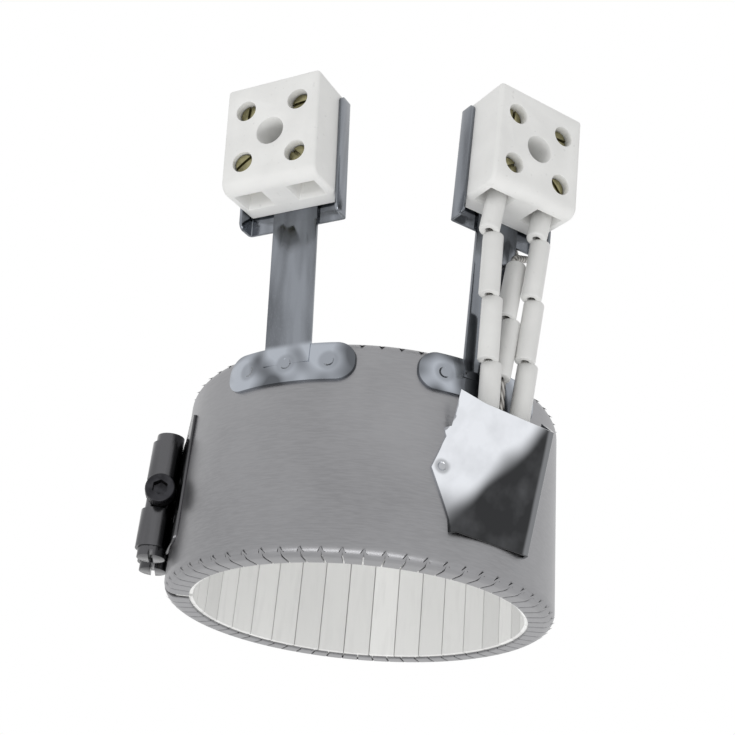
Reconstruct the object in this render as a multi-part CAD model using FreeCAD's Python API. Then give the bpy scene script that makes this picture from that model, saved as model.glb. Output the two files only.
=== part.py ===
import FreeCAD, Part
import math
import os
from FreeCAD import Placement, Rotation, Vector

# Ceramic band heater: a split stainless shell lined with ceramic tiles, closed by a barrel-nut clamp,
# with two terminal blocks on spring straps. Millimetres and degrees.
# The origin is the centre of the bore. +Z runs along the bore towards the terminal blocks.
# Azimuths are measured about +Z from +X.

# Band
BORE_D = 95.0            # barrel diameter that the tiles close on
BAND_WIDTH = 60.0        # along the axis
TILE_THICK = 5.0
BLANKET_THICK = 2.8
SHELL_SHEET = 0.7
TILE_PROUD = 1.1         # tiles stand inside the flange lips by this much
SPLIT_AZIMUTH = -175.0
SPLIT_GAP = 3.0          # between the two ends of the band, along the outside
TILE_COUNT = 36          # even, so that the coil returns to the side it left from
TILE_SEAM = 0.12         # joint between neighbouring tiles
COIL_D = 2.4
COIL_LINK = 1.4          # stretched turns from one tile to the next, radially
COIL_LINK_HEIGHT = 2.0
COIL_FIT = 0.05          # all round, in its holes
COIL_END_ROOM = 0.3      # from the end turns to the flange
SLIT_COUNT = 64          # in each flange, round the whole band
SLIT_WIDTH = 0.4
SLIT_RUN = 3.8           # from the lip to just short of the edge bend

# Clamp at the split
CLAMP_SCREW_D = 5.0
CLAMP_SCREW_LEN = 25.0
CLAMP_HEAD_D = 8.5
CLAMP_HEAD_LEN = 5.0
CLAMP_KEY_FLATS = 4.0
CLAMP_KEY_DEPTH = 2.6
BARREL_D = 8.0
BARREL_STICK_OUT = 2.6   # beyond each end of its loop
BARREL_SLOT_WIDTH = 1.3
BARREL_SLOT_DEPTH = 1.5
LUG_SHEET = 0.8
LUG_HEIGHT = 38.6
LUG_RUN = 11.5           # welded part, from its free edge to the loop
LUG_CORNER = 4.0
LOOP_LEN = 32.0
LOOP_CLEAR = 3.0         # between the two loops
LOOP_ROLL = 300.0        # how far the sheet is rolled round
NOTCH_HEIGHT = 9.6
BARREL_FIT = 0.05
SCREW_FIT = 0.06
HEAD_SEAT = 3.2          # flat on the plain barrel, from its middle

# Straps, brackets and terminal blocks
STRAP_SHEET = 1.0
STRAP_WIDTH = 14.0
STRAP_BEND = 6.0
FOOT_WIDTH = 38.8
FOOT_HEIGHT = 11.0
FOOT_DROP = 1.2          # foot's upper edge below the band's upper face
BLOCK_WIDTH = 29.5
BLOCK_HEIGHT = 33.0
BLOCK_DEPTH = 17.0
BLOCK_EDGE = 1.2
BLOCK_BROW = 3.2         # rounding of the lower front edge
POLE_PITCH = 16.4
SCREW_PITCH = 16.4
CHANNEL_WIDTH = 7.2
CHANNEL_DEPTH = 6.6
CHANNEL_BACK = 5.6       # ceramic behind the channels
CHANNEL_FLARE = 0.8
WELL_D = 6.2
CENTRE_WELL_D = 8.4
CENTRE_SEAT = 5.0        # ceramic under the mounting screw's head
CONNECTOR_LEN = 22.4
CONNECTOR_SIDE_FIT = 0.2
CONNECTOR_BORE = 3.4
TERMINAL_SCREW_D = 3.5
TERMINAL_HEAD_D = 5.6
TERMINAL_HEAD_LEN = 2.0
TERMINAL_FIT = 0.05
SCREW_SLOT_WIDTH = 0.9
SCREW_SLOT_DEPTH = 0.9
MOUNT_SCREW_D = 4.0
MOUNT_HEAD_D = 7.0
MOUNT_HEAD_LEN = 2.6
MOUNT_HOLE_FIT = 0.15
NUT_FLATS = 7.0
NUT_LEN = 3.2
NUT_THREAD_SHOW = 1.2    # screw's end beyond its nut
BRACKET_SHEET = 0.8
BRACKET_SIDE_FIT = 0.1
BRACKET_LIP = 4.6        # lips, forward of the block's back
BRACKET_LOW = 5.0        # plate below the block
BRACKET_TOP_GAP = 1.2    # plate's top below the block's top
BRACKET_CORNER = 2.0

# Each strap: azimuth, outward lean, height of the middle of its block
STRAPS = {
    "left": {"azimuth": -116.5, "lean": 7.0, "height": 86.5},
    "right": {"azimuth": -59.5, "lean": 4.0, "height": 91.0},
}
# How far each terminal screw stands out from its connector
SCREW_RAISE = {"left": (2.0, 0.9, 0.5, 0.6), "right": (0.4, 0.4, 0.9, 0.7)}

# Lead outlet cap
LEAD_TILE = 11           # leads come out of this tile and the next; odd, so both rods end low
LEAD_EXIT_Z = -4.0
CAP_SHEET = 0.7
CAP_WIDTH = 25.2
CAP_BASE_FLARE = 0.3     # how much each side wall spreads for each mm towards the band
CAP_LOW_Z = -20.6
CAP_FRONT_Z = 12.0
CAP_PEAK_Z = 17.5
CAP_PEAK_OUT = 3.0       # highest point of the side walls, outwards from the band
CAP_HEEL_Z = 7.8
CAP_MOUTH = 9.8          # front panel's top, outwards from the band
CAP_FOLD = 1.0
WING_REACH = 19.4        # wing's tip, along the band from the middle of the cap
WING_TIP_Z = -4.2

# Leads
WIRE_D = 2.0
WIRE_HOLE_FIT = 0.5
BEAD_D = 5.8
BEAD_FIT = 0.05
BEAD_PITCH = 18.5
BEAD_GAP = 0.6
TOP_BEAD_LEN = {"left": 15.5, "right": 11.5}
BEAD_STOP = 0.8          # from the top bead to the connector
LEAD_STAND_OFF = 3.4     # wire's middle from the band, inside the cap
LEAD_KNEE_Z = 5.0
LEAD_BEND = 3.0
KINK_RADIUS = 3.0
EARTH_BEAD_START = 24.0
EARTH_BEADS = 2
EARTH_STAND_OFF = 4.6
EARTH_SHIFT = 2.85        # degrees round the band from the right strap
EARTH_TOP = (4.2, -28.0) # in the block's frame, where the run of beads ends
EARTH_TURN = 2.0
EARTH_LUG_Z = 3.0
EARTH_LUG_LEN = 9.0
TERMINAL_SHEET = 0.8
RING_OD = 8.4
CRIMP_LEN = 5.0
CRIMP_WALL = 0.7

# Worked out from the sizes above
BORE_R = BORE_D / 2
TILE_R = BORE_R + TILE_THICK
WALL_R = TILE_R + BLANKET_THICK
BAND_R = WALL_R + SHELL_SHEET
LIP_R = BORE_R + TILE_PROUD
EDGE_BEND = BAND_R - TILE_R
HALF = BAND_WIDTH / 2
TILE_HALF = HALF - SHELL_SHEET
COIL_R = BORE_R + TILE_THICK / 2
GAP_ANGLE = math.degrees(SPLIT_GAP / BAND_R)
FIRST_AZIMUTH = SPLIT_AZIMUTH + GAP_ANGLE / 2
TILE_ANGLE = (360 - GAP_ANGLE) / TILE_COUNT
CAP_AZIMUTH = FIRST_AZIMUTH + TILE_ANGLE * (LEAD_TILE + 1)
LINK_Z = TILE_HALF - COIL_END_ROOM - COIL_LINK_HEIGHT
LOOP_IN_R = BARREL_D / 2 + BARREL_FIT
LOOP_OUT_R = LOOP_IN_R + LUG_SHEET
LOOP_AXIS_R = BAND_R + LOOP_OUT_R
LOOP_X = LOOP_OUT_R + LOOP_CLEAR / 2
LOOP_SWING = math.degrees(math.asin(LOOP_X / LOOP_AXIS_R))
LOOP_Y = -LOOP_AXIS_R * math.cos(math.radians(LOOP_SWING))
LOOP_Z = -(LUG_HEIGHT - LOOP_LEN) / 2
STRAP_FACE_R = BAND_R + STRAP_SHEET
FOOT_TOP = HALF - FOOT_DROP
CHANNEL_MID = CHANNEL_BACK + CHANNEL_DEPTH / 2
CONNECTOR_FRONT = CHANNEL_BACK + CHANNEL_DEPTH - CONNECTOR_SIDE_FIT

X_AXIS = Vector(1, 0, 0)
Y_AXIS = Vector(0, 1, 0)
Z_AXIS = Vector(0, 0, 1)


# Helpers

def polar(radius, azimuth, height=0.0):
    angle = math.radians(azimuth)
    return Vector(radius * math.cos(angle), radius * math.sin(angle), height)


def station(azimuth, radius=0.0, height=0.0, lean=0.0):
    """A local frame on the band: X along the band, -Y outwards, Z up and leaning outwards."""
    turn = Rotation(Z_AXIS, azimuth + 90).multiply(Rotation(X_AXIS, lean))
    return Placement(polar(radius, azimuth, height), turn)


def moved(shape, placement):
    return shape.transformed(placement.toMatrix(), True)


def box(low, high):
    size = high - low
    return Part.makeBox(size.x, size.y, size.z, low)


def cylinder(radius, start, end):
    return Part.makeCylinder(radius, (end - start).Length, start, end - start)


def face_of(points):
    return Part.Face(Part.makePolygon(list(points) + [points[0]]))


def ring_sector(inner, outer, low, high, start, end):
    """Part of a tube round the axis, between two azimuths."""
    outline = face_of([Vector(inner, 0, low), Vector(outer, 0, low),
                       Vector(outer, 0, high), Vector(inner, 0, high)])
    outline.rotate(Vector(), Z_AXIS, start)
    return outline.revolve(Vector(), Z_AXIS, end - start)


def arc(centre, radius, start, end):
    """An arc in the XY plane from one angle to another, in degrees, either way round."""
    points = [centre + polar(radius, angle) for angle in (start, (start + end) / 2, end)]
    return Part.Arc(*points).toShape()


def line(start, end):
    return Part.LineSegment(start, end).toShape()


def slot_cut(diameter, width, depth):
    """A screwdriver slot across a head whose top is the plane z = 0."""
    return box(Vector(-diameter, -width / 2, -depth), Vector(diameter, width / 2, depth))


def corner_arc(before, corner, after, radius):
    """A tangent arc at a corner: where it starts, the arc's edge and where it ends."""
    into = (corner - before).normalize()
    away = (after - corner).normalize()
    half_turn = into.getAngle(away) / 2
    reach = radius * math.tan(half_turn)
    bisector = (away - into).normalize()
    middle = corner + bisector * (radius / math.cos(half_turn) - radius)
    start = corner - into * reach
    end = corner + away * reach
    return start, Part.Arc(start, middle, end).toShape(), end


def rounded_path(points, radii):
    """Straight runs joined by tangent arcs; one radius for each inner point."""
    edges = []
    last = points[0]
    for index, radius in enumerate(radii, start=1):
        start, bend, end = corner_arc(points[index - 1], points[index], points[index + 1], radius)
        edges += [line(last, start), bend]
        last = end
    edges.append(line(last, points[-1]))
    return Part.Wire(edges)


def rounded_face(corners):
    """A flat face from (point, radius) corners; a radius of 0 leaves a corner sharp."""
    points = [point for point, radius in corners]
    edges = []
    ends = []
    for index, (point, radius) in enumerate(corners):
        if radius > 0:
            start, bend, end = corner_arc(points[index - 1], point, points[(index + 1) % len(points)], radius)
            ends.append((start, bend, end))
        else:
            ends.append((point, None, point))
    for index, (start, bend, end) in enumerate(ends):
        if bend:
            edges.append(bend)
        edges.append(line(end, ends[(index + 1) % len(ends)][0]))
    return Part.Face(Part.Wire(edges))


def rounded_plate(half, low, high, corner):
    """An upright rectangle in the XZ plane with four equal corners."""
    return rounded_face([(Vector(-half, 0, low), corner), (Vector(half, 0, low), corner),
                         (Vector(half, 0, high), corner), (Vector(-half, 0, high), corner)])


def round_wire(points, radii, diameter):
    path = rounded_path(points, radii)
    start = points[0]
    section = Part.Wire(Part.makeCircle(diameter / 2, start, points[1] - start))
    return path.makePipeShell([section], True, False)


# Band

def make_shell():
    bend = EDGE_BEND
    inner_bend = bend - SHELL_SHEET
    wall_end = HALF - bend

    def corner(radius, side, angle):
        turn = math.radians(angle)
        centre = Vector(BAND_R - bend, 0, side * wall_end)
        return centre + Vector(radius * math.sin(turn), 0, side * radius * math.cos(turn))

    def bend_arc(radius, side, start, end):
        middle = (start + end) / 2
        return Part.Arc(*[corner(radius, side, angle) for angle in (start, middle, end)]).toShape()

    low_lip = Vector(LIP_R, 0, -HALF)
    top_lip = Vector(LIP_R, 0, HALF)
    low_inside = Vector(LIP_R, 0, -TILE_HALF)
    top_inside = Vector(LIP_R, 0, TILE_HALF)
    edges = [
        line(low_lip, corner(bend, -1, 0)),
        bend_arc(bend, -1, 0, 90),
        line(corner(bend, -1, 90), corner(bend, 1, 90)),
        bend_arc(bend, 1, 90, 0),
        line(corner(bend, 1, 0), top_lip),
        line(top_lip, top_inside),
        line(top_inside, corner(inner_bend, 1, 0)),
        bend_arc(inner_bend, 1, 0, 90),
        line(corner(inner_bend, 1, 90), corner(inner_bend, -1, 90)),
        bend_arc(inner_bend, -1, 90, 0),
        line(corner(inner_bend, -1, 0), low_inside),
        line(low_inside, low_lip),
    ]
    profile = Part.Face(Part.Wire(edges))
    profile.rotate(Vector(), Z_AXIS, FIRST_AZIMUTH)
    shell = profile.revolve(Vector(), Z_AXIS, 360 - GAP_ANGLE)
    return shell.cut(slit_cutters() + lead_hole_cutters(WALL_R - 1, BAND_R + 1))


def slit_cutters():
    """Thin cuts that part both flanges into tabs, so that they close in as the band is rolled."""
    pitch = (360 - GAP_ANGLE) / SLIT_COUNT
    cutters = []
    for index in range(SLIT_COUNT):
        azimuth = FIRST_AZIMUTH + pitch * (index + 0.5)
        slit = box(Vector(-SLIT_WIDTH / 2, -LIP_R - SLIT_RUN, -HALF - 1),
                   Vector(SLIT_WIDTH / 2, -LIP_R + 1, HALF + 1))
        cutters.append(moved(slit, station(azimuth)))
    return cutters


def tile_azimuth(index):
    return FIRST_AZIMUTH + TILE_ANGLE * (index + 0.5)


def lead_hole_cutters(start_r, end_r, fit=WIRE_HOLE_FIT):
    """Radial holes for the two lead wires."""
    cutters = []
    for index in (LEAD_TILE, LEAD_TILE + 1):
        azimuth = tile_azimuth(index)
        cutters.append(cylinder(WIRE_D / 2 + fit, polar(start_r, azimuth, LEAD_EXIT_Z),
                                polar(end_r, azimuth, LEAD_EXIT_Z)))
    return cutters


def make_blanket():
    length = HALF - EDGE_BEND
    blanket = ring_sector(TILE_R, WALL_R, -length, length, FIRST_AZIMUTH,
                          FIRST_AZIMUTH + 360 - GAP_ANGLE)
    return blanket.cut(lead_hole_cutters(TILE_R - 1, WALL_R + 1))


def make_tile():
    """One tile at azimuth 0: arcs to the bore and the blanket, a coil hole and end grooves."""
    half_angle = TILE_ANGLE / 2 - math.degrees(TILE_SEAM / 2 / BORE_R)
    tile = ring_sector(BORE_R, TILE_R, -TILE_HALF, TILE_HALF, -half_angle, half_angle)
    hole_r = COIL_D / 2 + COIL_FIT
    hole = cylinder(hole_r, Vector(COIL_R, 0, -HALF), Vector(COIL_R, 0, HALF))
    groove_in = COIL_END_ROOM + COIL_LINK_HEIGHT + COIL_FIT
    grooves = []
    for side in (-1, 1):
        ends = sorted((side * (TILE_HALF - groove_in), side * HALF))
        grooves.append(box(Vector(COIL_R - hole_r, -TILE_R, ends[0]),
                           Vector(COIL_R + hole_r, TILE_R, ends[1])))
    return tile.cut([hole] + grooves)


def make_tiles():
    tile = make_tile()
    tiles = []
    for index in range(TILE_COUNT):
        azimuth = tile_azimuth(index)
        one = moved(tile, Placement(Vector(), Rotation(Z_AXIS, azimuth)))
        if index in (LEAD_TILE, LEAD_TILE + 1):
            one = one.cut(lead_hole_cutters(COIL_R, TILE_R + 1, COIL_FIT))
        tiles.append(one.Solids[0])
    return Part.makeCompound(tiles)


def make_coil():
    """The resistance coil's outer shape: up one tile and down the next, all round the band."""
    pieces = []
    for index in range(TILE_COUNT):
        azimuth = tile_azimuth(index)
        low = -LINK_Z
        if index in (LEAD_TILE, LEAD_TILE + 1):
            low = LEAD_EXIT_Z - WIRE_D / 2
        pieces.append(cylinder(COIL_D / 2, polar(COIL_R, azimuth, low), polar(COIL_R, azimuth, LINK_Z)))
        if index != LEAD_TILE:
            pieces.append(coil_link(index, -1 if index % 2 else 1))
    return pieces[0].multiFuse(pieces[1:])


def coil_link(index, side):
    """A straight link across the ends of two neighbouring turns."""
    start = polar(COIL_R, tile_azimuth(index))
    span = polar(COIL_R, tile_azimuth((index + 1) % TILE_COUNT)) - start
    half = COIL_LINK / 2
    low, high = sorted((side * LINK_Z, side * (LINK_Z + COIL_LINK_HEIGHT)))
    link = box(Vector(-half, -half, low), Vector(span.Length + half, half, high))
    return moved(link, Placement(start, Rotation(X_AXIS, span)))


# Clamp. Its pieces are made in the frame at the split: X towards the near lug, -Y outwards.

def lug_outline(free_x):
    """The lug seen from outside: a rounded plate that narrows to its loop."""
    low = -LUG_HEIGHT / 2
    high = LUG_HEIGHT / 2
    loop_high = LOOP_Z + LOOP_LEN / 2
    loop_edge = LOOP_X + LOOP_OUT_R
    return rounded_face([(Vector(0, 0, low), 0), (Vector(free_x, 0, low), LUG_CORNER),
                         (Vector(free_x, 0, high), LUG_CORNER / 4),
                         (Vector((free_x + loop_edge) / 2, 0, high), LUG_CORNER / 4),
                         (Vector(loop_edge, 0, loop_high), 0), (Vector(0, 0, loop_high), 0)])


def make_near_lug():
    """A welded plate whose end is rolled outwards into a loop, with a notch for the screw."""
    start = LOOP_SWING - 90
    free_edge = start + math.degrees(LUG_RUN / BAND_R)
    centre = polar(LOOP_AXIS_R, start)
    inward = start + 180
    roll_end = inward + LOOP_ROLL
    outer_end = centre + polar(LOOP_OUT_R, roll_end)
    inner_end = centre + polar(LOOP_IN_R, roll_end)
    edges = [
        arc(Vector(), BAND_R, free_edge, start),
        arc(centre, LOOP_OUT_R, inward, roll_end),
        line(outer_end, inner_end),
        arc(centre, LOOP_IN_R, roll_end, inward),
        arc(Vector(), BAND_R + LUG_SHEET, start, free_edge),
        line(polar(BAND_R + LUG_SHEET, free_edge), polar(BAND_R, free_edge)),
    ]
    sheet = Part.Face(Part.Wire(edges))
    sheet.translate(Vector(0, 0, -LUG_HEIGHT / 2))
    lug = sheet.extrude(Vector(0, 0, LUG_HEIGHT))
    outline = lug_outline(polar(BAND_R + LUG_SHEET, free_edge).x)
    lug = lug.common(outline.extrude(Vector(0, -2 * BAND_R, 0)))
    plate_y = -math.sqrt((BAND_R + LUG_SHEET) ** 2 - LOOP_X ** 2)
    notch = box(Vector(0, -2 * BAND_R, LOOP_Z - NOTCH_HEIGHT / 2),
                Vector(LOOP_X + LOOP_OUT_R + 1, plate_y - BARREL_FIT, LOOP_Z + NOTCH_HEIGHT / 2))
    return lug.cut(notch)


def make_lug(side):
    lug = make_near_lug()
    if side == "far":
        lug = lug.mirror(Vector(), X_AXIS)
    return moved(lug, station(SPLIT_AZIMUTH))


def make_barrel(side):
    """Cross barrel for the screw: plain with a seat for the head, or threaded."""
    sign = 1 if side == "near" else -1
    middle = Vector(sign * LOOP_X, LOOP_Y, LOOP_Z)
    reach = Vector(0, 0, LOOP_LEN / 2 + BARREL_STICK_OUT)
    barrel = cylinder(BARREL_D / 2, middle - reach, middle + reach)
    across = Vector(BARREL_D, 0, 0)
    cutters = [cylinder(CLAMP_SCREW_D / 2 + SCREW_FIT, middle - across, middle + across)]
    if side == "near":
        seat = middle + Vector(HEAD_SEAT, 0, 0)
        cutters.append(cylinder(NOTCH_HEIGHT / 2, seat, seat + across))
    slot = slot_cut(BARREL_D, BARREL_SLOT_WIDTH, BARREL_SLOT_DEPTH)
    slot.translate(middle - reach)
    cutters.append(slot)
    return moved(barrel.cut(cutters), station(SPLIT_AZIMUTH))


def make_clamp_screw():
    """Socket-head cap screw, its head seated on the plain barrel."""
    seat = Vector(LOOP_X + HEAD_SEAT, LOOP_Y, LOOP_Z)
    shank = cylinder(CLAMP_SCREW_D / 2, seat, seat - Vector(CLAMP_SCREW_LEN, 0, 0))
    head_end = seat + Vector(CLAMP_HEAD_LEN, 0, 0)
    head = cylinder(CLAMP_HEAD_D / 2, seat, head_end)
    screw = head.fuse(shank).removeSplitter()
    key = hexagon(CLAMP_KEY_FLATS, CLAMP_KEY_DEPTH + 1)
    key.rotate(Vector(), Y_AXIS, 90)
    key.translate(head_end - Vector(CLAMP_KEY_DEPTH, 0, 0))
    return moved(screw.cut(key), station(SPLIT_AZIMUTH))


def hexagon(flats, height):
    radius = flats / math.sqrt(3)
    return face_of([polar(radius, 60 * index) for index in range(6)]).extrude(Vector(0, 0, height))


# Straps, brackets and terminal blocks. The block's frame has X across the block, Y into it
# from the front, Z up it, and its origin in the middle of the block's back.

def block_station(side):
    strap = STRAPS[side]
    rise = strap["height"] - FOOT_TOP
    radius = STRAP_FACE_R + rise * math.tan(math.radians(strap["lean"]))
    return station(strap["azimuth"], radius, strap["height"], strap["lean"])


def make_strap(side):
    """Spring strap: a foot curved to the band and a flat strip that leans outwards."""
    strap = STRAPS[side]
    foot_low = FOOT_TOP - FOOT_HEIGHT
    half_angle = math.degrees(FOOT_WIDTH / 2 / BAND_R)
    foot = ring_sector(BAND_R, STRAP_FACE_R, foot_low, FOOT_TOP, -90 - half_angle - 2, -90 + half_angle + 2)
    half = STRAP_FACE_R * math.sin(math.radians(half_angle))
    corner = FOOT_HEIGHT * 0.45
    outline = rounded_plate(half, foot_low, FOOT_TOP, corner)
    foot = foot.common(outline.extrude(Vector(0, -2 * BAND_R, 0)))

    lean = math.radians(strap["lean"])
    top = strap["height"] + CENTRE_WELL_D
    rise = top - FOOT_TOP
    reach = rise * math.tan(lean)
    base = foot_low + FOOT_HEIGHT / 2
    front = [Vector(0, -STRAP_FACE_R, base), Vector(0, -STRAP_FACE_R, FOOT_TOP),
             Vector(0, -STRAP_FACE_R - reach, top)]
    back_shift = Vector(0, STRAP_SHEET * math.cos(lean), STRAP_SHEET * math.sin(lean))
    back_corner = Vector(0, -BAND_R, FOOT_TOP + STRAP_SHEET * math.tan(lean / 2))
    back = [Vector(0, -BAND_R, base), back_corner, front[2] + back_shift]
    front_edges = rounded_path(front, [STRAP_BEND]).Edges
    back_edges = rounded_path(back, [STRAP_BEND + STRAP_SHEET]).Edges
    sides = [line(front[2], back[2]), line(back[0], front[0])]
    profile = Part.Face(Part.Wire(Part.__sortEdges__(front_edges + back_edges + sides)))
    profile.translate(Vector(-STRAP_WIDTH / 2, 0, 0))
    strip = profile.extrude(Vector(STRAP_WIDTH, 0, 0))
    body = moved(foot.fuse(strip).removeSplitter(), station(strap["azimuth"]))
    return body.cut(mount_hole(side, 0, STRAP_SHEET))


def mount_hole(side, near, far):
    """Hole for the mounting screw through a sheet behind the block."""
    hole = cylinder(MOUNT_SCREW_D / 2 + MOUNT_HOLE_FIT, Vector(0, near - 1, 0), Vector(0, far + 1, 0))
    return moved(hole, block_station(side))


def make_bracket(side):
    """Shallow channel behind the strip, with two lips that hold the block square."""
    inner = BLOCK_WIDTH / 2 + BRACKET_SIDE_FIT
    outer = inner + BRACKET_SHEET
    low = -BLOCK_HEIGHT / 2 - BRACKET_LOW
    high = BLOCK_HEIGHT / 2 - BRACKET_TOP_GAP
    back = STRAP_SHEET + BRACKET_SHEET
    front = -BRACKET_LIP
    bend = 1.5 * BRACKET_SHEET
    inner_bend = bend - BRACKET_SHEET
    section = rounded_face([
        (Vector(-outer, front, low), 0), (Vector(-inner, front, low), 0),
        (Vector(-inner, STRAP_SHEET, low), inner_bend), (Vector(inner, STRAP_SHEET, low), inner_bend),
        (Vector(inner, front, low), 0), (Vector(outer, front, low), 0),
        (Vector(outer, back, low), bend), (Vector(-outer, back, low), bend)])
    bracket = section.extrude(Vector(0, 0, high - low))
    from_side = rounded_face([
        (Vector(-outer, front, low), BRACKET_CORNER), (Vector(-outer, 2 * back, low), 0),
        (Vector(-outer, 2 * back, high), 0), (Vector(-outer, front, high), BRACKET_CORNER)])
    bracket = bracket.common(from_side.extrude(Vector(2 * outer, 0, 0)))
    return moved(bracket, block_station(side)).cut(mount_hole(side, STRAP_SHEET, back))


def pole_x(pole):
    """Across the block; pole is 0 on the left and 1 on the right, seen from the front."""
    return (pole - 0.5) * POLE_PITCH


def screw_points():
    """Middle of each terminal screw in the block's XZ plane, from the lower left, upwards."""
    return [(pole_x(pole), (row - 0.5) * SCREW_PITCH) for pole in (0, 1) for row in (0, 1)]


def make_block(side):
    """Pressed ceramic block: two channels for the connectors, four screw wells, one mounting well."""
    half = BLOCK_WIDTH / 2
    low = -BLOCK_HEIGHT / 2
    section = rounded_face([
        (Vector(-half, 0, low), BLOCK_EDGE / 2), (Vector(-half, -BLOCK_DEPTH, low), BLOCK_BROW),
        (Vector(-half, -BLOCK_DEPTH, -low), BLOCK_EDGE), (Vector(-half, 0, -low), BLOCK_EDGE / 2)])
    block = section.extrude(Vector(BLOCK_WIDTH, 0, 0))
    from_front = rounded_plate(half, low, -low, BLOCK_EDGE)
    from_front.translate(Vector(0, 1, 0))
    block = block.common(from_front.extrude(Vector(0, -BLOCK_DEPTH - 2, 0)))
    cutters = [cylinder(CENTRE_WELL_D / 2, Vector(0, -CENTRE_SEAT, 0), Vector(0, -BLOCK_DEPTH - 1, 0)),
               cylinder(MOUNT_SCREW_D / 2 + MOUNT_HOLE_FIT, Vector(0, 1, 0), Vector(0, -BLOCK_DEPTH, 0))]
    for pole in (0, 1):
        cutters += channel_cutters(pole_x(pole))
    for x, z in screw_points():
        cutters.append(cylinder(WELL_D / 2, Vector(x, -CHANNEL_MID, z), Vector(x, -BLOCK_DEPTH - 1, z)))
    return moved(block.cut(cutters), block_station(side))


def channel_cutters(x):
    """A channel through the block's height with flared mouths."""
    half = CHANNEL_WIDTH / 2
    back = -CHANNEL_BACK
    front = back - CHANNEL_DEPTH
    reach = BLOCK_HEIGHT / 2
    cutters = [box(Vector(x - half, front, -reach - 1), Vector(x + half, back, reach + 1))]
    for side in (-1, 1):
        flare = CHANNEL_FLARE
        mouth = flare_section(x, half + flare, back + flare, front - flare, side * reach)
        throat = flare_section(x, half, back, front, side * (reach - 2 * flare))
        cutters.append(Part.makeLoft([throat, mouth], True, True))
    return cutters


def flare_section(x, half, back, front, z):
    corners = [Vector(x - half, front, z), Vector(x + half, front, z),
               Vector(x + half, back, z), Vector(x - half, back, z)]
    return Part.makePolygon(corners + [corners[0]])


def make_connector(side, pole):
    """Brass bar with a bore for the wires and two threaded holes for the terminal screws."""
    x = pole_x(pole)
    half = CHANNEL_WIDTH / 2 - CONNECTOR_SIDE_FIT
    reach = CONNECTOR_LEN / 2
    bar = box(Vector(x - half, -CONNECTOR_FRONT, -reach), Vector(x + half, -CHANNEL_BACK, reach))
    cutters = [cylinder(CONNECTOR_BORE / 2, Vector(x, -CHANNEL_MID, -reach - 1),
                        Vector(x, -CHANNEL_MID, reach + 1))]
    for row in (-0.5, 0.5):
        z = row * SCREW_PITCH
        cutters.append(cylinder(TERMINAL_SCREW_D / 2 + TERMINAL_FIT, Vector(x, -CHANNEL_MID, z),
                                Vector(x, -CONNECTOR_FRONT - 1, z)))
    return moved(bar.cut(cutters), block_station(side))


def slotted_screw(shank_d, head_d, head_len, shank_len, slot_turn):
    """Cheese-head screw along Z: its head's seat at z = 0, its shank below."""
    head = cylinder(head_d / 2, Vector(), Vector(0, 0, head_len))
    shank = cylinder(shank_d / 2, Vector(), Vector(0, 0, -shank_len))
    screw = head.fuse(shank).removeSplitter()
    slot = slot_cut(head_d, SCREW_SLOT_WIDTH, SCREW_SLOT_DEPTH)
    slot.rotate(Vector(), Z_AXIS, slot_turn)
    slot.translate(Vector(0, 0, head_len))
    return screw.cut(slot)


def make_terminal_screw(side, number):
    """The screws press on a wire whose top is half its diameter in front of the bore's middle."""
    x, z = screw_points()[number]
    lift = SCREW_RAISE[side][number]
    shank_len = CONNECTOR_FRONT - CHANNEL_MID - WIRE_D / 2
    screw = slotted_screw(TERMINAL_SCREW_D, TERMINAL_HEAD_D, TERMINAL_HEAD_LEN, shank_len, 35 + 50 * number)
    screw.rotate(Vector(), X_AXIS, 90)
    screw.translate(Vector(x, -CONNECTOR_FRONT - lift, z))
    return moved(screw, block_station(side))


def mount_screw_grip(side):
    """From the head's seat to the face that the nut bears on."""
    return CENTRE_SEAT + STRAP_SHEET + BRACKET_SHEET + (TERMINAL_SHEET if side == "right" else 0)


def make_mount_screw(side):
    shank_len = mount_screw_grip(side) + NUT_LEN + NUT_THREAD_SHOW
    screw = slotted_screw(MOUNT_SCREW_D, MOUNT_HEAD_D, MOUNT_HEAD_LEN, shank_len, 60)
    screw.rotate(Vector(), X_AXIS, 90)
    screw.translate(Vector(0, -CENTRE_SEAT, 0))
    return moved(screw, block_station(side))


def make_mount_nut(side):
    nut = hexagon(NUT_FLATS, NUT_LEN)
    nut = nut.cut(cylinder(MOUNT_SCREW_D / 2 + SCREW_FIT, Vector(0, 0, -1), Vector(0, 0, NUT_LEN + 1)))
    nut.rotate(Vector(), X_AXIS, -90)
    nut.translate(Vector(0, mount_screw_grip(side) - CENTRE_SEAT, 0))
    return moved(nut, block_station(side))


# Lead outlet cap, in the frame at its azimuth with its origin on the band's axis

def cap_front(height):
    """How far the front panel's outer face is from the band's axis at a height."""
    low = BAND_R + CAP_SHEET + 0.1
    high = BAND_R + CAP_MOUTH
    share = (height - CAP_LOW_Z) / (CAP_FRONT_Z - CAP_LOW_Z)
    return low + (high - low) * share


def cap_section(height, inset):
    """Outline of the cap's wedge at one height, its walls set in by inset."""
    front = cap_front(height) - inset
    back = BAND_R - EDGE_BEND - 2
    half = CAP_WIDTH / 2 - inset
    spread = half + CAP_BASE_FLARE * (front - back)
    corners = [Vector(-half, -front, height), Vector(half, -front, height),
               Vector(spread, -back, height), Vector(-spread, -back, height)]
    return Part.makePolygon(corners + [corners[0]])


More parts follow.
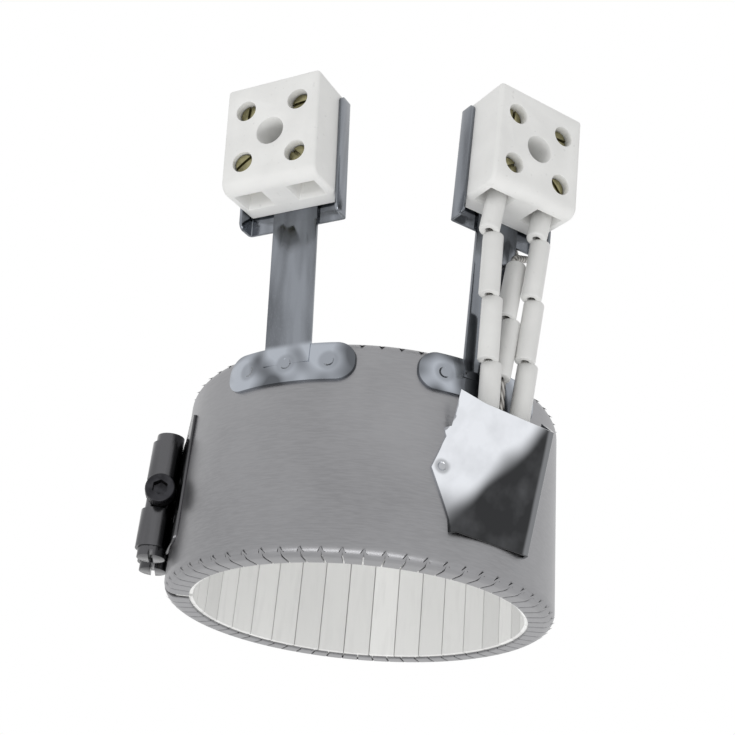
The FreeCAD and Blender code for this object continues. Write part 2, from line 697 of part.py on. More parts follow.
def make_cap():
    """Folded sheet pocket: open at the top, closed at the bottom, with a wing on each side."""
    low, high = CAP_LOW_Z, CAP_PEAK_Z + 1
    wedge = Part.makeLoft([cap_section(low, 0), cap_section(high, 0)], True, True)
    wedge = wedge.makeFillet(CAP_FOLD, front_edges(wedge))
    hollow = Part.makeLoft([cap_section(low, CAP_SHEET), cap_section(high, CAP_SHEET)], True, True)
    hollow = hollow.makeFillet(max(CAP_FOLD - CAP_SHEET, 0.1), front_edges(hollow))
    pocket = wedge.cut(hollow)
    from_side = face_of([
        Vector(0, -cap_front(low) - 1, low), Vector(0, -BAND_R + EDGE_BEND, low),
        Vector(0, -BAND_R + EDGE_BEND, CAP_HEEL_Z), Vector(0, -BAND_R, CAP_HEEL_Z),
        Vector(0, -BAND_R - CAP_PEAK_OUT, CAP_PEAK_Z),
        Vector(0, -cap_front(CAP_FRONT_Z), CAP_FRONT_Z), Vector(0, -cap_front(CAP_FRONT_Z) - 1, CAP_FRONT_Z)])
    from_side.translate(Vector(-BAND_R, 0, 0))
    pocket = pocket.common(from_side.extrude(Vector(2 * BAND_R, 0, 0)))
    pocket = pocket.cut(Part.makeCylinder(BAND_R, 2 * BAND_WIDTH, Vector(0, 0, -BAND_WIDTH)))
    wings = [make_wing(side) for side in (-1, 1)]
    cap = pocket.fuse(wings).removeSplitter()
    return moved(cap, station(CAP_AZIMUTH))


def front_edges(wedge):
    """The two long edges of a wedge at its front panel."""
    chosen = []
    for edge in wedge.Edges:
        ends = [vertex.Point for vertex in edge.Vertexes]
        tall = abs(ends[0].z - ends[1].z) > BAND_WIDTH / 4
        if tall and all(point.y < -BAND_R for point in ends):
            chosen.append(edge)
    return chosen


def make_wing(side):
    """A triangular tab that lies on the band, folded from a side wall."""
    def base_x(height):
        depth = cap_front(height) - BAND_R
        return CAP_WIDTH / 2 + CAP_BASE_FLARE * depth - CAP_SHEET

    tip = Vector(side * BAND_R * math.sin(WING_REACH / BAND_R), 0, WING_TIP_Z)
    corners = [tip, Vector(side * base_x(CAP_HEEL_Z), 0, CAP_HEEL_Z),
               Vector(side * base_x(CAP_LOW_Z), 0, CAP_LOW_Z)]
    tab = ring_sector(BAND_R, BAND_R + CAP_SHEET, CAP_LOW_Z, CAP_HEEL_Z, -120, -60)
    return tab.common(face_of(corners).extrude(Vector(0, -2 * BAND_R, 0)))


# Leads

def world(side, x, y, z):
    """A point of a block's frame in the band's frame."""
    return block_station(side).multVec(Vector(x, y, z))


def power_lead_points(lead):
    """Wire's route: out of the band, up through the cap and into the right block."""
    index = LEAD_TILE if lead == "left" else LEAD_TILE + 1
    pole = 0 if lead == "left" else 1
    azimuth = tile_azimuth(index)
    exit_r = BAND_R + LEAD_STAND_OFF
    x = pole_x(pole)
    top_joint = bead_stop_z() - TOP_BEAD_LEN[lead]
    return [polar(COIL_R + COIL_D / 2, azimuth, LEAD_EXIT_Z), polar(exit_r, azimuth, LEAD_EXIT_Z),
            polar(exit_r, azimuth, LEAD_KNEE_Z),
            world("right", x, -CHANNEL_MID, top_joint), world("right", x, -CHANNEL_MID, 0)]


def bead_stop_z():
    """Top end of the last bead in the block's frame."""
    return -CONNECTOR_LEN / 2 - BEAD_STOP


def make_power_wire(lead):
    return round_wire(power_lead_points(lead), [LEAD_BEND, KINK_RADIUS, KINK_RADIUS], WIRE_D)


def bead(start, end):
    """Ceramic bead between two points of a straight run of wire."""
    return cylinder(BEAD_D / 2, start, end).cut(cylinder(WIRE_D / 2 + BEAD_FIT, start, end))


def make_power_beads(lead):
    """Top bead in the block's channel, then whole beads down into the cap."""
    points = power_lead_points(lead)
    x = pole_x(0 if lead == "left" else 1)
    stop = world("right", x, -CHANNEL_MID, bead_stop_z())
    joint = points[3]
    down = (points[2] - joint).normalize()
    up = (stop - joint).normalize()
    beads = [bead(joint + up * (BEAD_GAP / 2), stop)]
    room = (points[2] - joint).Length
    for index in range(int(room // BEAD_PITCH)):
        beads.append(bead(joint + down * (index * BEAD_PITCH + BEAD_GAP / 2),
                          joint + down * ((index + 1) * BEAD_PITCH - BEAD_GAP / 2)))
    return beads


def earth_points():
    """Third lead: from its lug on the band, in front of the strip, then round it to its back."""
    low_r = BAND_R + TERMINAL_SHEET + WIRE_D / 2
    start = EARTH_LUG_Z + EARTH_LUG_LEN - CRIMP_LEN / 2
    back = STRAP_SHEET + BRACKET_SHEET + CRIMP_WALL + WIRE_D / 2
    beside = STRAP_WIDTH / 2 + WIRE_D + 1
    under = -BLOCK_HEIGHT / 2 - BRACKET_LOW - WIRE_D
    crimp = Vector(beside, 0, under).normalize() * (RING_OD / 2 + CRIMP_LEN / 2)
    top_x, top_z = EARTH_TOP
    return [polar(low_r, CAP_AZIMUTH, start), polar(low_r, CAP_AZIMUTH, start + 4),
            polar(BAND_R + EARTH_STAND_OFF, STRAPS["right"]["azimuth"] + EARTH_SHIFT, EARTH_BEAD_START),
            world("right", top_x, -BEAD_D / 2 - 0.4, top_z),
            world("right", beside, -WIRE_D, (top_z + under) / 2),
            world("right", beside, back, under), world("right", crimp.x, back, crimp.z)]


def make_earth_wire():
    return round_wire(earth_points(), [2 * EARTH_TURN] * 2 + [EARTH_TURN] * 3, WIRE_D)


def make_earth_beads():
    points = earth_points()
    up = (points[3] - points[2]).normalize()
    return [bead(points[2] + up * (index * BEAD_PITCH + BEAD_GAP / 2),
                 points[2] + up * ((index + 1) * BEAD_PITCH - BEAD_GAP / 2))
            for index in range(EARTH_BEADS)]


def crimp_terminal(tongue, end, away):
    """A flat tongue with a crimped tube round the wire's end."""
    outer = WIRE_D / 2 + CRIMP_WALL
    start = end + away * (CRIMP_LEN / 2)
    finish = end - away * (CRIMP_LEN / 2)
    tube = cylinder(outer, start, finish)
    return tongue.fuse(tube).removeSplitter().cut(cylinder(WIRE_D / 2, start, end))


def make_ring_terminal():
    points = earth_points()
    end = points[-1]
    away = (points[-2] - end).normalize()
    plane = STRAP_SHEET + BRACKET_SHEET
    frame = block_station("right")
    ring = cylinder(RING_OD / 2, Vector(0, plane, 0), Vector(0, plane + TERMINAL_SHEET, 0))
    local = frame.inverse().multVec(end)
    reach = Vector(local.x, 0, local.z)
    side = reach.cross(Y_AXIS).normalize() * (WIRE_D / 2 + CRIMP_WALL)
    base = Vector(0, plane, 0)
    tongue = face_of([base + side, base + reach + side, base + reach - side, base - side])
    tongue = tongue.extrude(Vector(0, TERMINAL_SHEET, 0))
    hole = cylinder(MOUNT_SCREW_D / 2 + MOUNT_HOLE_FIT, Vector(0, plane - 1, 0), Vector(0, plane + 2, 0))
    plate = moved(ring.fuse(tongue).removeSplitter().cut(hole), frame)
    return crimp_terminal(plate, end, away)


def make_earth_lug():
    """Small welded tongue inside the cap that holds the third lead's lower end."""
    points = earth_points()
    half = math.degrees((WIRE_D / 2 + CRIMP_WALL) / BAND_R)
    tongue = ring_sector(BAND_R, BAND_R + TERMINAL_SHEET, EARTH_LUG_Z, points[0].z,
                         CAP_AZIMUTH - half, CAP_AZIMUTH + half)
    return crimp_terminal(tongue, points[0], (points[1] - points[0]).normalize())


# All the pieces, each under its own name

def make_parts():
    parts = {"shell": make_shell(), "insulation_blanket": make_blanket(), "ceramic_tiles": make_tiles(),
             "heating_coil": make_coil(), "clamp_screw": make_clamp_screw(), "outlet_cap": make_cap(),
             "earth_lead_wire": make_earth_wire(), "earth_ring_terminal": make_ring_terminal(),
             "earth_weld_lug": make_earth_lug()}
    for side in ("near", "far"):
        parts["clamp_lug_" + side] = make_lug(side)
        parts["barrel_nut_" + side] = make_barrel(side)
    for side in ("left", "right"):
        parts["strap_" + side] = make_strap(side)
        parts["bracket_" + side] = make_bracket(side)
        parts["terminal_block_" + side] = make_block(side)
        parts["mount_screw_" + side] = make_mount_screw(side)
        parts["mount_nut_" + side] = make_mount_nut(side)
        for pole in (0, 1):
            parts["connector_%s_%d" % (side, pole + 1)] = make_connector(side, pole)
        for number in range(4):
            parts["terminal_screw_%s_%d" % (side, number + 1)] = make_terminal_screw(side, number)
        parts["power_lead_wire_" + side] = make_power_wire(side)
        for number, one in enumerate(make_power_beads(side), start=1):
            parts["bead_%s_%d" % (side, number)] = one
    for number, one in enumerate(make_earth_beads(), start=1):
        parts["bead_earth_%d" % number] = one
    return parts


def main():
    os.makedirs("parts", exist_ok=True)
    for name, shape in make_parts().items():
        shape.exportStep(os.path.join("parts", name + ".step"))


main()
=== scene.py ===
"""Ceramic band heater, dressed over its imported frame. Lengths are metres, angles radians unless said."""

import math

import bmesh
import bpy
from mathutils import Matrix, Vector


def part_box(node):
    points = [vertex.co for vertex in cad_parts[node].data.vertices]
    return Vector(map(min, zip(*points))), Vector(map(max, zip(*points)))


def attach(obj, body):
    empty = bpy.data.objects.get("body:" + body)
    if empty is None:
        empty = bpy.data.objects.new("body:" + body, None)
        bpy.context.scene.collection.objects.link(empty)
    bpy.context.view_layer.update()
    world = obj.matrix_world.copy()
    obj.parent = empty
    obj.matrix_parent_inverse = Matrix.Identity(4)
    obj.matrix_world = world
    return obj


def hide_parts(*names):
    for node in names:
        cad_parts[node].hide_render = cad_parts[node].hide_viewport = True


bl_info = {
    "name": "Ceramic Band Heater",
    "version": (1, 0, 0),
    "blender": (4, 5, 0),
    "location": "View3D > Sidebar > Heater",
    "description": "Builds the shell, tiles, clamp, straps, blocks, leads and stage of a band heater",
    "category": "Object",
}

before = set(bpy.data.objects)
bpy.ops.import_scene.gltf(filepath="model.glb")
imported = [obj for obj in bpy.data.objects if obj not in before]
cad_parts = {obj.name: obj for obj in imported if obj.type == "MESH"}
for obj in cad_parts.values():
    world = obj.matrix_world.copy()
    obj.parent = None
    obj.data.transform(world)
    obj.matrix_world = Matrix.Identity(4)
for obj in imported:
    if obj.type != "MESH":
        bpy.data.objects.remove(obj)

MM = 0.001
ROOT_BODY = "heater"
SPLIT_AZIMUTH = -175.0          # degrees about +Z from +X
LEAD_AZIMUTH = -54.5            # middle of the outlet cap
HALF_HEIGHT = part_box("shell")[1].z
STRAPS = {
    "left": {"azimuth": -116.5, "lean": 7.0, "height": 86.5 * MM},
    "right": {"azimuth": -59.5, "lean": 4.0, "height": 91.0 * MM},
}


# Placing

def polar(radius, azimuth, height=0.0):
    """A point at an azimuth in degrees about the band's axis."""
    angle = math.radians(azimuth)
    return Vector((radius * math.cos(angle), radius * math.sin(angle), height))


def station(azimuth, radius=0.0, height=0.0, lean=0.0):
    """A local frame on the band: X along the band, -Y outwards, Z up and leaning outwards."""
    turn = Matrix.Rotation(math.radians(azimuth + 90), 4, "Z") @ Matrix.Rotation(math.radians(lean), 4, "X")
    return Matrix.Translation(polar(radius, azimuth, height)) @ turn


def block_station(side):
    """The frame of a terminal block, with its origin in the middle of the block's back."""
    strap = STRAPS[side]
    clamps = bpy.context.scene.heater_straps
    rise = strap["height"] - clamps.foot_top
    radius = clamps.face_radius + rise * math.tan(math.radians(strap["lean"]))
    return station(strap["azimuth"], radius, strap["height"], strap["lean"])


def local_box(node, matrix):
    """A CAD node's lowest and highest corner in a local frame."""
    inverse = matrix.inverted()
    points = [inverse @ vertex.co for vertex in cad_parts[node].data.vertices]
    low = Vector([min(point[axis] for point in points) for axis in range(3)])
    high = Vector([max(point[axis] for point in points) for axis in range(3)])
    return low, high


def run_ends(node):
    """The middles of a straight round node's two ends."""
    points = [vertex.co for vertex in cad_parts[node].data.vertices]
    low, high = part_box(node)
    along = (high - low).normalized()
    for _ in range(3):
        reach = sorted(points, key=lambda point: point.dot(along))
        count = len(points) // 4
        start = sum(reach[:count], Vector()) / count
        end = sum(reach[-count:], Vector()) / count
        along = (end - start).normalized()
    first = min(point.dot(along) for point in points)
    last = max(point.dot(along) for point in points)
    middle = (start + end) / 2
    return middle + along * (first - middle.dot(along)), middle + along * (last - middle.dot(along))


# Mesh making

ON_AXIS = 1e-9


def mesh_object(name, bm):
    """A new object from a bmesh, its normals outwards."""
    mesh = bpy.data.meshes.new(name)
    bmesh.ops.recalc_face_normals(bm, faces=bm.faces)
    bm.to_mesh(mesh)
    bm.free()
    piece = bpy.data.objects.new(name, mesh)
    bpy.context.scene.collection.objects.link(piece)
    return piece


def settle(piece):
    """Turns a piece and its modifiers into a plain mesh."""
    bpy.context.view_layer.update()
    graph = bpy.context.evaluated_depsgraph_get()
    mesh = bpy.data.meshes.new_from_object(piece.evaluated_get(graph))
    piece.modifiers.clear()
    old = piece.data
    name = old.name
    piece.data = mesh
    bpy.data.meshes.remove(old)
    mesh.name = name
    return piece


def smooth(piece, angle=38.0):
    """Round stretches shade as round; edges sharper than the angle stay crisp."""
    piece.data.shade_smooth()
    piece.data.set_sharp_from_angle(angle=math.radians(angle))
    return piece


def soften(piece, width, segments=2, angle=38.0):
    """Rounds the sharp edges by a small width."""
    bevel = piece.modifiers.new("edges", "BEVEL")
    bevel.width = width
    bevel.segments = segments
    bevel.limit_method = "ANGLE"
    bevel.angle_limit = math.radians(angle)
    return smooth(settle(piece), angle)


def skin(bm, rows, closed=True):
    """Faces between rows of as many points each, going round each row if it is closed."""
    for low, high in zip(rows, rows[1:]):
        for step in range(len(low) if closed else len(low) - 1):
            after = (step + 1) % len(low)
            bm.faces.new((low[step], low[after], high[after], high[step]))


def lathe(name, profile, segments=48):
    """A closed (radius, height) outline turned about Z."""
    bm = bmesh.new()
    rings = []
    for radius, height in profile:
        if radius < ON_AXIS:
            rings.append([bm.verts.new((0, 0, height))])
            continue
        ring = []
        for step in range(segments):
            angle = 2 * math.pi * step / segments
            ring.append(bm.verts.new((radius * math.cos(angle), radius * math.sin(angle), height)))
        rings.append(ring)
    hollow = len(rings[0]) > 1 and len(rings[-1]) > 1
    for low, high in zip(rings, rings[1:] + rings[:1] if hollow else rings[1:]):
        for step in range(segments):
            after = (step + 1) % segments
            corners = [low[step % len(low)], low[after % len(low)],
                       high[after % len(high)], high[step % len(high)]]
            unique = list(dict.fromkeys(corners))
            if len(unique) > 2:
                bm.faces.new(unique)
    return mesh_object(name, bm)


def rounded_profile(corners, radius, steps=3):
    """A (radius, height) outline whose corners off the axis are rounded by a small radius."""
    points = []
    count = len(corners)
    for index, corner in enumerate(corners):
        here = Vector(corner)
        if here.x < ON_AXIS:
            points.append(tuple(here))
            continue
        before = Vector(corners[index - 1]) - here
        after = Vector(corners[(index + 1) % count]) - here
        reach = min(radius, before.length / 2, after.length / 2)
        start = here + before.normalized() * reach
        end = here + after.normalized() * reach
        for step in range(steps + 1):
            share = step / steps
            inner = start.lerp(here, share).lerp(here.lerp(end, share), share)
            points.append(tuple(inner))
    return points


def prism(name, outline, depth):
    """An (x, y) outline pushed along Z."""
    bm = bmesh.new()
    base = bm.faces.new([bm.verts.new((x, y, 0)) for x, y in outline])
    made = bmesh.ops.extrude_face_region(bm, geom=[base])
    moved = [item for item in made["geom"] if isinstance(item, bmesh.types.BMVert)]
    bmesh.ops.translate(bm, vec=(0, 0, depth), verts=moved)
    return mesh_object(name, bm)


def block_of(name, low, high):
    """A box between two corners."""
    bm = bmesh.new()
    bmesh.ops.create_cube(bm, size=1)
    size = Vector(high) - Vector(low)
    middle = (Vector(high) + Vector(low)) / 2
    for vertex in bm.verts:
        vertex.co = middle + Vector([vertex.co[axis] * size[axis] for axis in range(3)])
    return mesh_object(name, bm)


def rod(name, radius, start, end, segments=40):
    """A plain round rod between two points."""
    along = Vector(end) - Vector(start)
    piece = lathe(name, [(0, 0), (radius, 0), (radius, along.length), (0, along.length)], segments)
    piece.data.transform(Matrix.Translation(start) @ along.to_track_quat("Z", "Y").to_matrix().to_4x4())
    return piece


def discard(piece):
    mesh = piece.data
    bpy.data.objects.remove(piece)
    bpy.data.meshes.remove(mesh)


def cut(piece, cutters):
    """Takes each cutter out of the piece, then removes the cutters."""
    for cutter in cutters:
        carve = piece.modifiers.new("cut", "BOOLEAN")
        carve.operation = "DIFFERENCE"
        carve.solver = "EXACT"
        carve.object = cutter
    settle(piece)
    for cutter in cutters:
        discard(cutter)
    return piece


def copy_of(node, name):
    """A merged copy of a CAD node, ready to be worked on."""
    bm = bmesh.new()
    bm.from_mesh(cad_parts[node].data)
    bmesh.ops.remove_doubles(bm, verts=bm.verts, dist=1e-6)
    return mesh_object(name, bm)


def finish_piece(piece, material, slot, *nodes, matrix=None, body=ROOT_BODY):
    """Puts a piece in its place, gives it its finish and lets it stand for its CAD nodes."""
    if matrix:
        piece.data.transform(matrix)
    piece.data.materials.clear()
    piece.data.materials.append(material)
    if nodes:
        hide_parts(*nodes)
    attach(piece, body)
    return piece


def soften_node(node, name, width, material, slot):
    """Replaces a CAD node by a copy of it with rounded edges and a finish."""
    finish_piece(soften(copy_of(node, name), width, angle=40.0), finish(material), slot, node)


def dress(node, material):
    """A CAD node that keeps its own mesh gets its finish."""
    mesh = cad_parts[node].data
    mesh.materials.clear()
    mesh.materials.append(material)


# Geometry Nodes: one piece repeated round the axis

def ring_tree():
    """A tree that repeats its input round Z, joins what meets and sets the finish."""
    name = "copies_round_axis"
    if name in bpy.data.node_groups:
        return bpy.data.node_groups[name]
    tree = bpy.data.node_groups.new(name, "GeometryNodeTree")
    for label, kind in (("Piece", "Geometry"), ("Count", "Int"), ("Step Angle", "Float"),
                        ("Start Angle", "Float"), ("Join Distance", "Float"), ("Finish", "Material")):
        tree.interface.new_socket(name=label, in_out="INPUT", socket_type="NodeSocket" + kind)
    tree.interface.new_socket(name="Ring", in_out="OUTPUT", socket_type="NodeSocketGeometry")
    nodes = tree.nodes
    links = tree.links
    given = nodes.new("NodeGroupInput")
    points = nodes.new("GeometryNodePoints")
    index = nodes.new("GeometryNodeInputIndex")
    turn = nodes.new("ShaderNodeMath")
    turn.operation = "MULTIPLY_ADD"
    euler = nodes.new("ShaderNodeCombineXYZ")
    rotation = nodes.new("FunctionNodeEulerToRotation")
    copies = nodes.new("GeometryNodeInstanceOnPoints")
    real = nodes.new("GeometryNodeRealizeInstances")
    join = nodes.new("GeometryNodeMergeByDistance")
    finish = nodes.new("GeometryNodeSetMaterial")
    result = nodes.new("NodeGroupOutput")
    links.new(given.outputs["Count"], points.inputs["Count"])
    links.new(index.outputs[0], turn.inputs[0])
    links.new(given.outputs["Step Angle"], turn.inputs[1])
    links.new(given.outputs["Start Angle"], turn.inputs[2])
    links.new(turn.outputs[0], euler.inputs["Z"])
    links.new(euler.outputs[0], rotation.inputs[0])
    links.new(points.outputs[0], copies.inputs["Points"])
    links.new(given.outputs["Piece"], copies.inputs["Instance"])
    links.new(rotation.outputs[0], copies.inputs["Rotation"])
    links.new(copies.outputs[0], real.inputs["Geometry"])
    links.new(real.outputs[0], join.inputs["Geometry"])
    links.new(given.outputs["Join Distance"], join.inputs["Distance"])
    links.new(join.outputs[0], finish.inputs["Geometry"])
    links.new(given.outputs["Finish"], finish.inputs["Material"])
    links.new(finish.outputs[0], result.inputs["Ring"])
    return tree


def repeat_round(piece, count, step, start, material, join=1e-6):
    """Repeats a piece round the axis with Geometry Nodes and makes the result a plain mesh."""
    tree = ring_tree()
    modifier = piece.modifiers.new("ring", "NODES")
    modifier.node_group = tree
    values = {"Count": count, "Step Angle": math.radians(step), "Start Angle": math.radians(start),
              "Join Distance": join, "Finish": material}
    for item in tree.interface.items_tree:
        if item.in_out == "INPUT" and item.name in values:
            modifier[item.identifier] = values[item.name]
    return settle(piece)


# Shader node groups

def feed(tree, socket, term):
    """Gives an input a value or a link from another node."""
    if isinstance(term, bpy.types.NodeSocket):
        tree.links.new(term, socket)
    else:
        socket.default_value = term


def math_node(tree, operation, *terms):
    """A Math node; each term is a number or a socket."""
    node = tree.nodes.new("ShaderNodeMath")
    node.operation = operation
    for socket, term in zip(node.inputs, terms):
        feed(tree, socket, term)
    return node.outputs[0]


def vector_node(tree, operation, first, second):
    """A Vector Math node's outputs."""
    node = tree.nodes.new("ShaderNodeVectorMath")
    node.operation = operation
    tree.links.new(first, node.inputs[0])
    tree.links.new(second, node.inputs[1])
    return node.outputs


def noise_node(tree, vector, scale, detail):
    node = tree.nodes.new("ShaderNodeTexNoise")
    for label, term in (("Vector", vector), ("Scale", scale), ("Detail", detail)):
        feed(tree, node.inputs[label], term)
    return node.outputs["Fac"]


def map_range(tree, value, low, high, to_low=0.0, to_high=1.0, kind="LINEAR"):
    """Maps a value's range to another."""
    node = tree.nodes.new("ShaderNodeMapRange")
    node.interpolation_type = kind
    for label, term in (("Value", value), ("From Min", low), ("From Max", high),
                        ("To Min", to_low), ("To Max", to_high)):
        feed(tree, node.inputs[label], term)
    return node.outputs["Result"]


def shared_group(inputs, outputs):
    """Turns a function that fills a shader group into one that makes the group once, under its name."""
    def wrap(fill):
        def fetch():
            name = fill.__name__
            if name in bpy.data.node_groups:
                return bpy.data.node_groups[name]
            group = bpy.data.node_groups.new(name, "ShaderNodeTree")
            for label, default in inputs.items():
                kind = "Float" if isinstance(default, float) else "Vector"
                kind = "NodeSocket" + kind
                socket = group.interface.new_socket(name=label, in_out="INPUT", socket_type=kind)
                socket.default_value = default
            for label, kind in outputs.items():
                group.interface.new_socket(name=label, in_out="OUTPUT", socket_type="NodeSocket" + kind)
            made = fill(group, group.nodes.new("NodeGroupInput").outputs)
            result = group.nodes.new("NodeGroupOutput")
            for label, socket in made.items():
                group.links.new(socket, result.inputs[label])
            return group
        return fetch
    return wrap


@shared_group({"Vector": (0, 0, 0), "Stretch": (1, 1, 1), "Scale": 400.0, "Detail": 3.0}, {"Grain": "Float"})
def drawn_grain(group, given):
    """Fine lines left by rolling or drawing: noise stretched along one direction."""
    stretched = vector_node(group, "MULTIPLY", given["Vector"], given["Stretch"])["Vector"]
    return {"Grain": noise_node(group, stretched, given["Scale"], given["Detail"])}


@shared_group({"Vector": (0, 0, 0), "Radius": 0.056}, {"Unrolled": "Vector", "Azimuth": "Float"})
def band_unrolled(group, given):
    """Object coordinates unrolled round the band: arc length, height and distance from the axis."""
    split = group.nodes.new("ShaderNodeSeparateXYZ")
    group.links.new(given["Vector"], split.inputs[0])
    x, y, z = split.outputs
    azimuth = math_node(group, "ARCTAN2", y, x)
    squares = math_node(group, "ADD", math_node(group, "MULTIPLY", x, x), math_node(group, "MULTIPLY", y, y))
    joined = group.nodes.new("ShaderNodeCombineXYZ")
    arc = math_node(group, "MULTIPLY", azimuth, given["Radius"])
    for part, socket in zip((arc, z, math_node(group, "SQRT", squares)), joined.inputs):
        group.links.new(part, socket)
    return {"Unrolled": joined.outputs[0], "Azimuth": azimuth}


@shared_group({"Vector": (0, 0, 0), "Centre": (0, 0, 0), "Radius": 0.0016},
              {"Dimple": "Float", "Heat": "Float"})
def spot_weld(group, given):
    """The dimple and heat ring of one spot weld."""
    distance = vector_node(group, "DISTANCE", given["Vector"], given["Centre"])["Value"]
    share = math_node(group, "DIVIDE", distance, given["Radius"])
    return {"Dimple": map_range(group, share, 0.55, 1.0, 1.0, 0.0, "SMOOTHERSTEP"),
            "Heat": map_range(group, share, 1.0, 1.9, 1.0, 0.0, "SMOOTHERSTEP")}


@shared_group({"Vector": (0, 0, 0), "Direction": (1, 0, 0), "At": 0.0, "Width": 0.01, "Waviness": 0.002},
              {"Share": "Float"})
def soft_step(group, given):
    """A soft-edged step along a direction across the piece: 0 before it, 1 after it."""
    along = vector_node(group, "DOT_PRODUCT", given["Vector"], given["Direction"])["Value"]
    wander = math_node(group, "SUBTRACT", noise_node(group, given["Vector"], 45.0, 1.0), 0.5)
    bend = math_node(group, "MULTIPLY", wander, given["Waviness"])
    past = math_node(group, "SUBTRACT", along, given["At"])
    share = math_node(group, "DIVIDE", math_node(group, "ADD", past, bend), given["Width"])
    return {"Share": map_range(group, share, -0.5, 0.5, kind="SMOOTHSTEP")}


@shared_group({"Azimuth": 0.0, "Start": 0.0, "Step": 0.1}, {"Shade": "Float", "Seam": "Float"})
def shade_by_step(group, given):
    """A different shade for each equal step round the axis, as between fired tiles."""
    shifted = math_node(group, "SUBTRACT", given["Azimuth"], given["Start"])
    count = math_node(group, "DIVIDE", shifted, given["Step"])
    number = math_node(group, "FLOOR", count)
    noise = group.nodes.new("ShaderNodeTexWhiteNoise")
    noise.noise_dimensions = "1D"
    group.links.new(number, noise.inputs["W"])
    part = math_node(group, "SUBTRACT", count, number)
    from_middle = math_node(group, "ABSOLUTE", math_node(group, "SUBTRACT", part, 0.5))
    return {"Shade": noise.outputs["Value"], "Seam": from_middle}


class Finish:
    """Shorthand for building one material's node tree."""

    def __init__(self, name, base, metallic, roughness):
        self.material = bpy.data.materials.new(name)
        self.material.use_nodes = True
        self.tree = self.material.node_tree
        self.nodes = self.tree.nodes
        self.links = self.tree.links
        self.shader = self.nodes["Principled BSDF"]
        self.shader.inputs["Base Color"].default_value = (*base, 1)
        self.shader.inputs["Metallic"].default_value = metallic
        self.shader.inputs["Roughness"].default_value = roughness
        self.place = self.nodes.new("ShaderNodeTexCoord").outputs["Object"]

    def group(self, tree, vector=None, **values):
        """A shader group's outputs, its inputs set by name; it reads Object coordinates unless told."""
        node = self.nodes.new("ShaderNodeGroup")
        node.node_tree = tree
        if "Vector" in node.inputs:
            self.links.new(vector or self.place, node.inputs["Vector"])
        for label, value in values.items():
            feed(self.tree, node.inputs[label], value)
        return node.outputs

    def grain(self, vector=None, **values):
        return self.group(drawn_grain(), vector, **values)["Grain"]

    def noise(self, scale, detail=3.0, vector=None):
        return noise_node(self.tree, vector or self.place, scale, detail)

    def wave(self, direction, scale):
        node = self.nodes.new("ShaderNodeTexWave")
        node.bands_direction = direction
        node.inputs["Scale"].default_value = scale
        self.links.new(self.place, node.inputs["Vector"])
        return node

    def span(self, value, low, high, to_low=0.0, to_high=1.0):
        return map_range(self.tree, value, low, high, to_low, to_high)

    def blend(self, share, first, second):
        """A colour between two, each given as a triple or a socket."""
        node = self.nodes.new("ShaderNodeMix")
        node.data_type = "RGBA"
        self.links.new(share, node.inputs["Factor"])
        for label, colour in (("A", first), ("B", second)):
            socket = [item for item in node.inputs if item.name == label and item.type == "RGBA"][0]
            feed(self.tree, socket, (*colour, 1) if isinstance(colour, tuple) else colour)
        return [item for item in node.outputs if item.type == "RGBA"][0]

    def layer(self, base, value, low, high, strength, colour):
        """Lays a colour over the base as a value goes from low to high."""
        return self.blend(self.span(value, low, high, 0.0, strength), base, colour)

    def welds(self, base, centres, radius, strength, scorched, under):
        """Sinks spot welds into the surface; returns the colour with a scorched ring round each."""
        dimples = None
        for centre in centres:
            weld = self.group(spot_weld(), Centre=tuple(centre), Radius=radius)
            base = self.layer(base, weld["Heat"], 0.0, 1.0, strength, scorched)
            dimples = math_node(self.tree, "ADD", dimples, weld["Dimple"]) if dimples else weld["Dimple"]
        self.bump(math_node(self.tree, "MULTIPLY", dimples, -1.0), 0.9, 0.0005, under)
        return base

    def colour(self, socket):
        self.links.new(socket, self.shader.inputs["Base Color"])

    def rough(self, socket):
        self.links.new(socket, self.shader.inputs["Roughness"])

    def bump(self, height, strength, distance, under=None):
        node = self.nodes.new("ShaderNodeBump")
        node.inputs["Strength"].default_value = strength
        node.inputs["Distance"].default_value = distance
        self.links.new(height, node.inputs["Height"])
        if under:
            self.links.new(under, node.inputs["Normal"])
        self.links.new(node.outputs["Normal"], self.shader.inputs["Normal"])
        return node.outputs["Normal"]


# Finishes

def tint(colour, factor):
    return tuple(min(channel * factor, 1.0) for channel in colour)


def chosen(label):
    """A colour from the settings."""
    return tuple(getattr(bpy.context.scene.heater_finishes, label))


def finish(name):
    """A finish by name, made the first time it is asked for; the CAD has materials of the plain names."""
    made = name + "_finish"
    return bpy.data.materials.get(made) or FINISHES[name](made)


def satin_band_steel(name):
    """Dull rolled stainless: faint lines round the band, soft cloudy patches, light rub marks."""
    steel = chosen("band_steel")
    work = Finish(name, steel, 1.0, 0.36)
    unrolled = work.group(band_unrolled(), Radius=0.056)["Unrolled"]
    lines = work.grain(unrolled, Stretch=(0.12, 1.0, 1.0), Scale=2600.0)
    clouds = work.noise(38.0)
    patches_with_painted_reflection = work.noise(16.0, 2.0, unrolled)
    base = work.blend(work.span(clouds, 0.3, 0.7), tint(steel, 0.88), tint(steel, 1.10))
    # Broad darker patches, partly random tone and partly a painted reflection.
    base = work.layer(base, patches_with_painted_reflection, 0.35, 0.68, 0.45, tint(steel, 0.74))
    work.colour(work.layer(base, lines, 0.35, 0.65, 0.28, tint(steel, 1.22)))
    work.rough(work.span(clouds, 0.3, 0.7, 0.31, 0.42))
    work.bump(lines, 0.10, 0.00006)
    return work.material


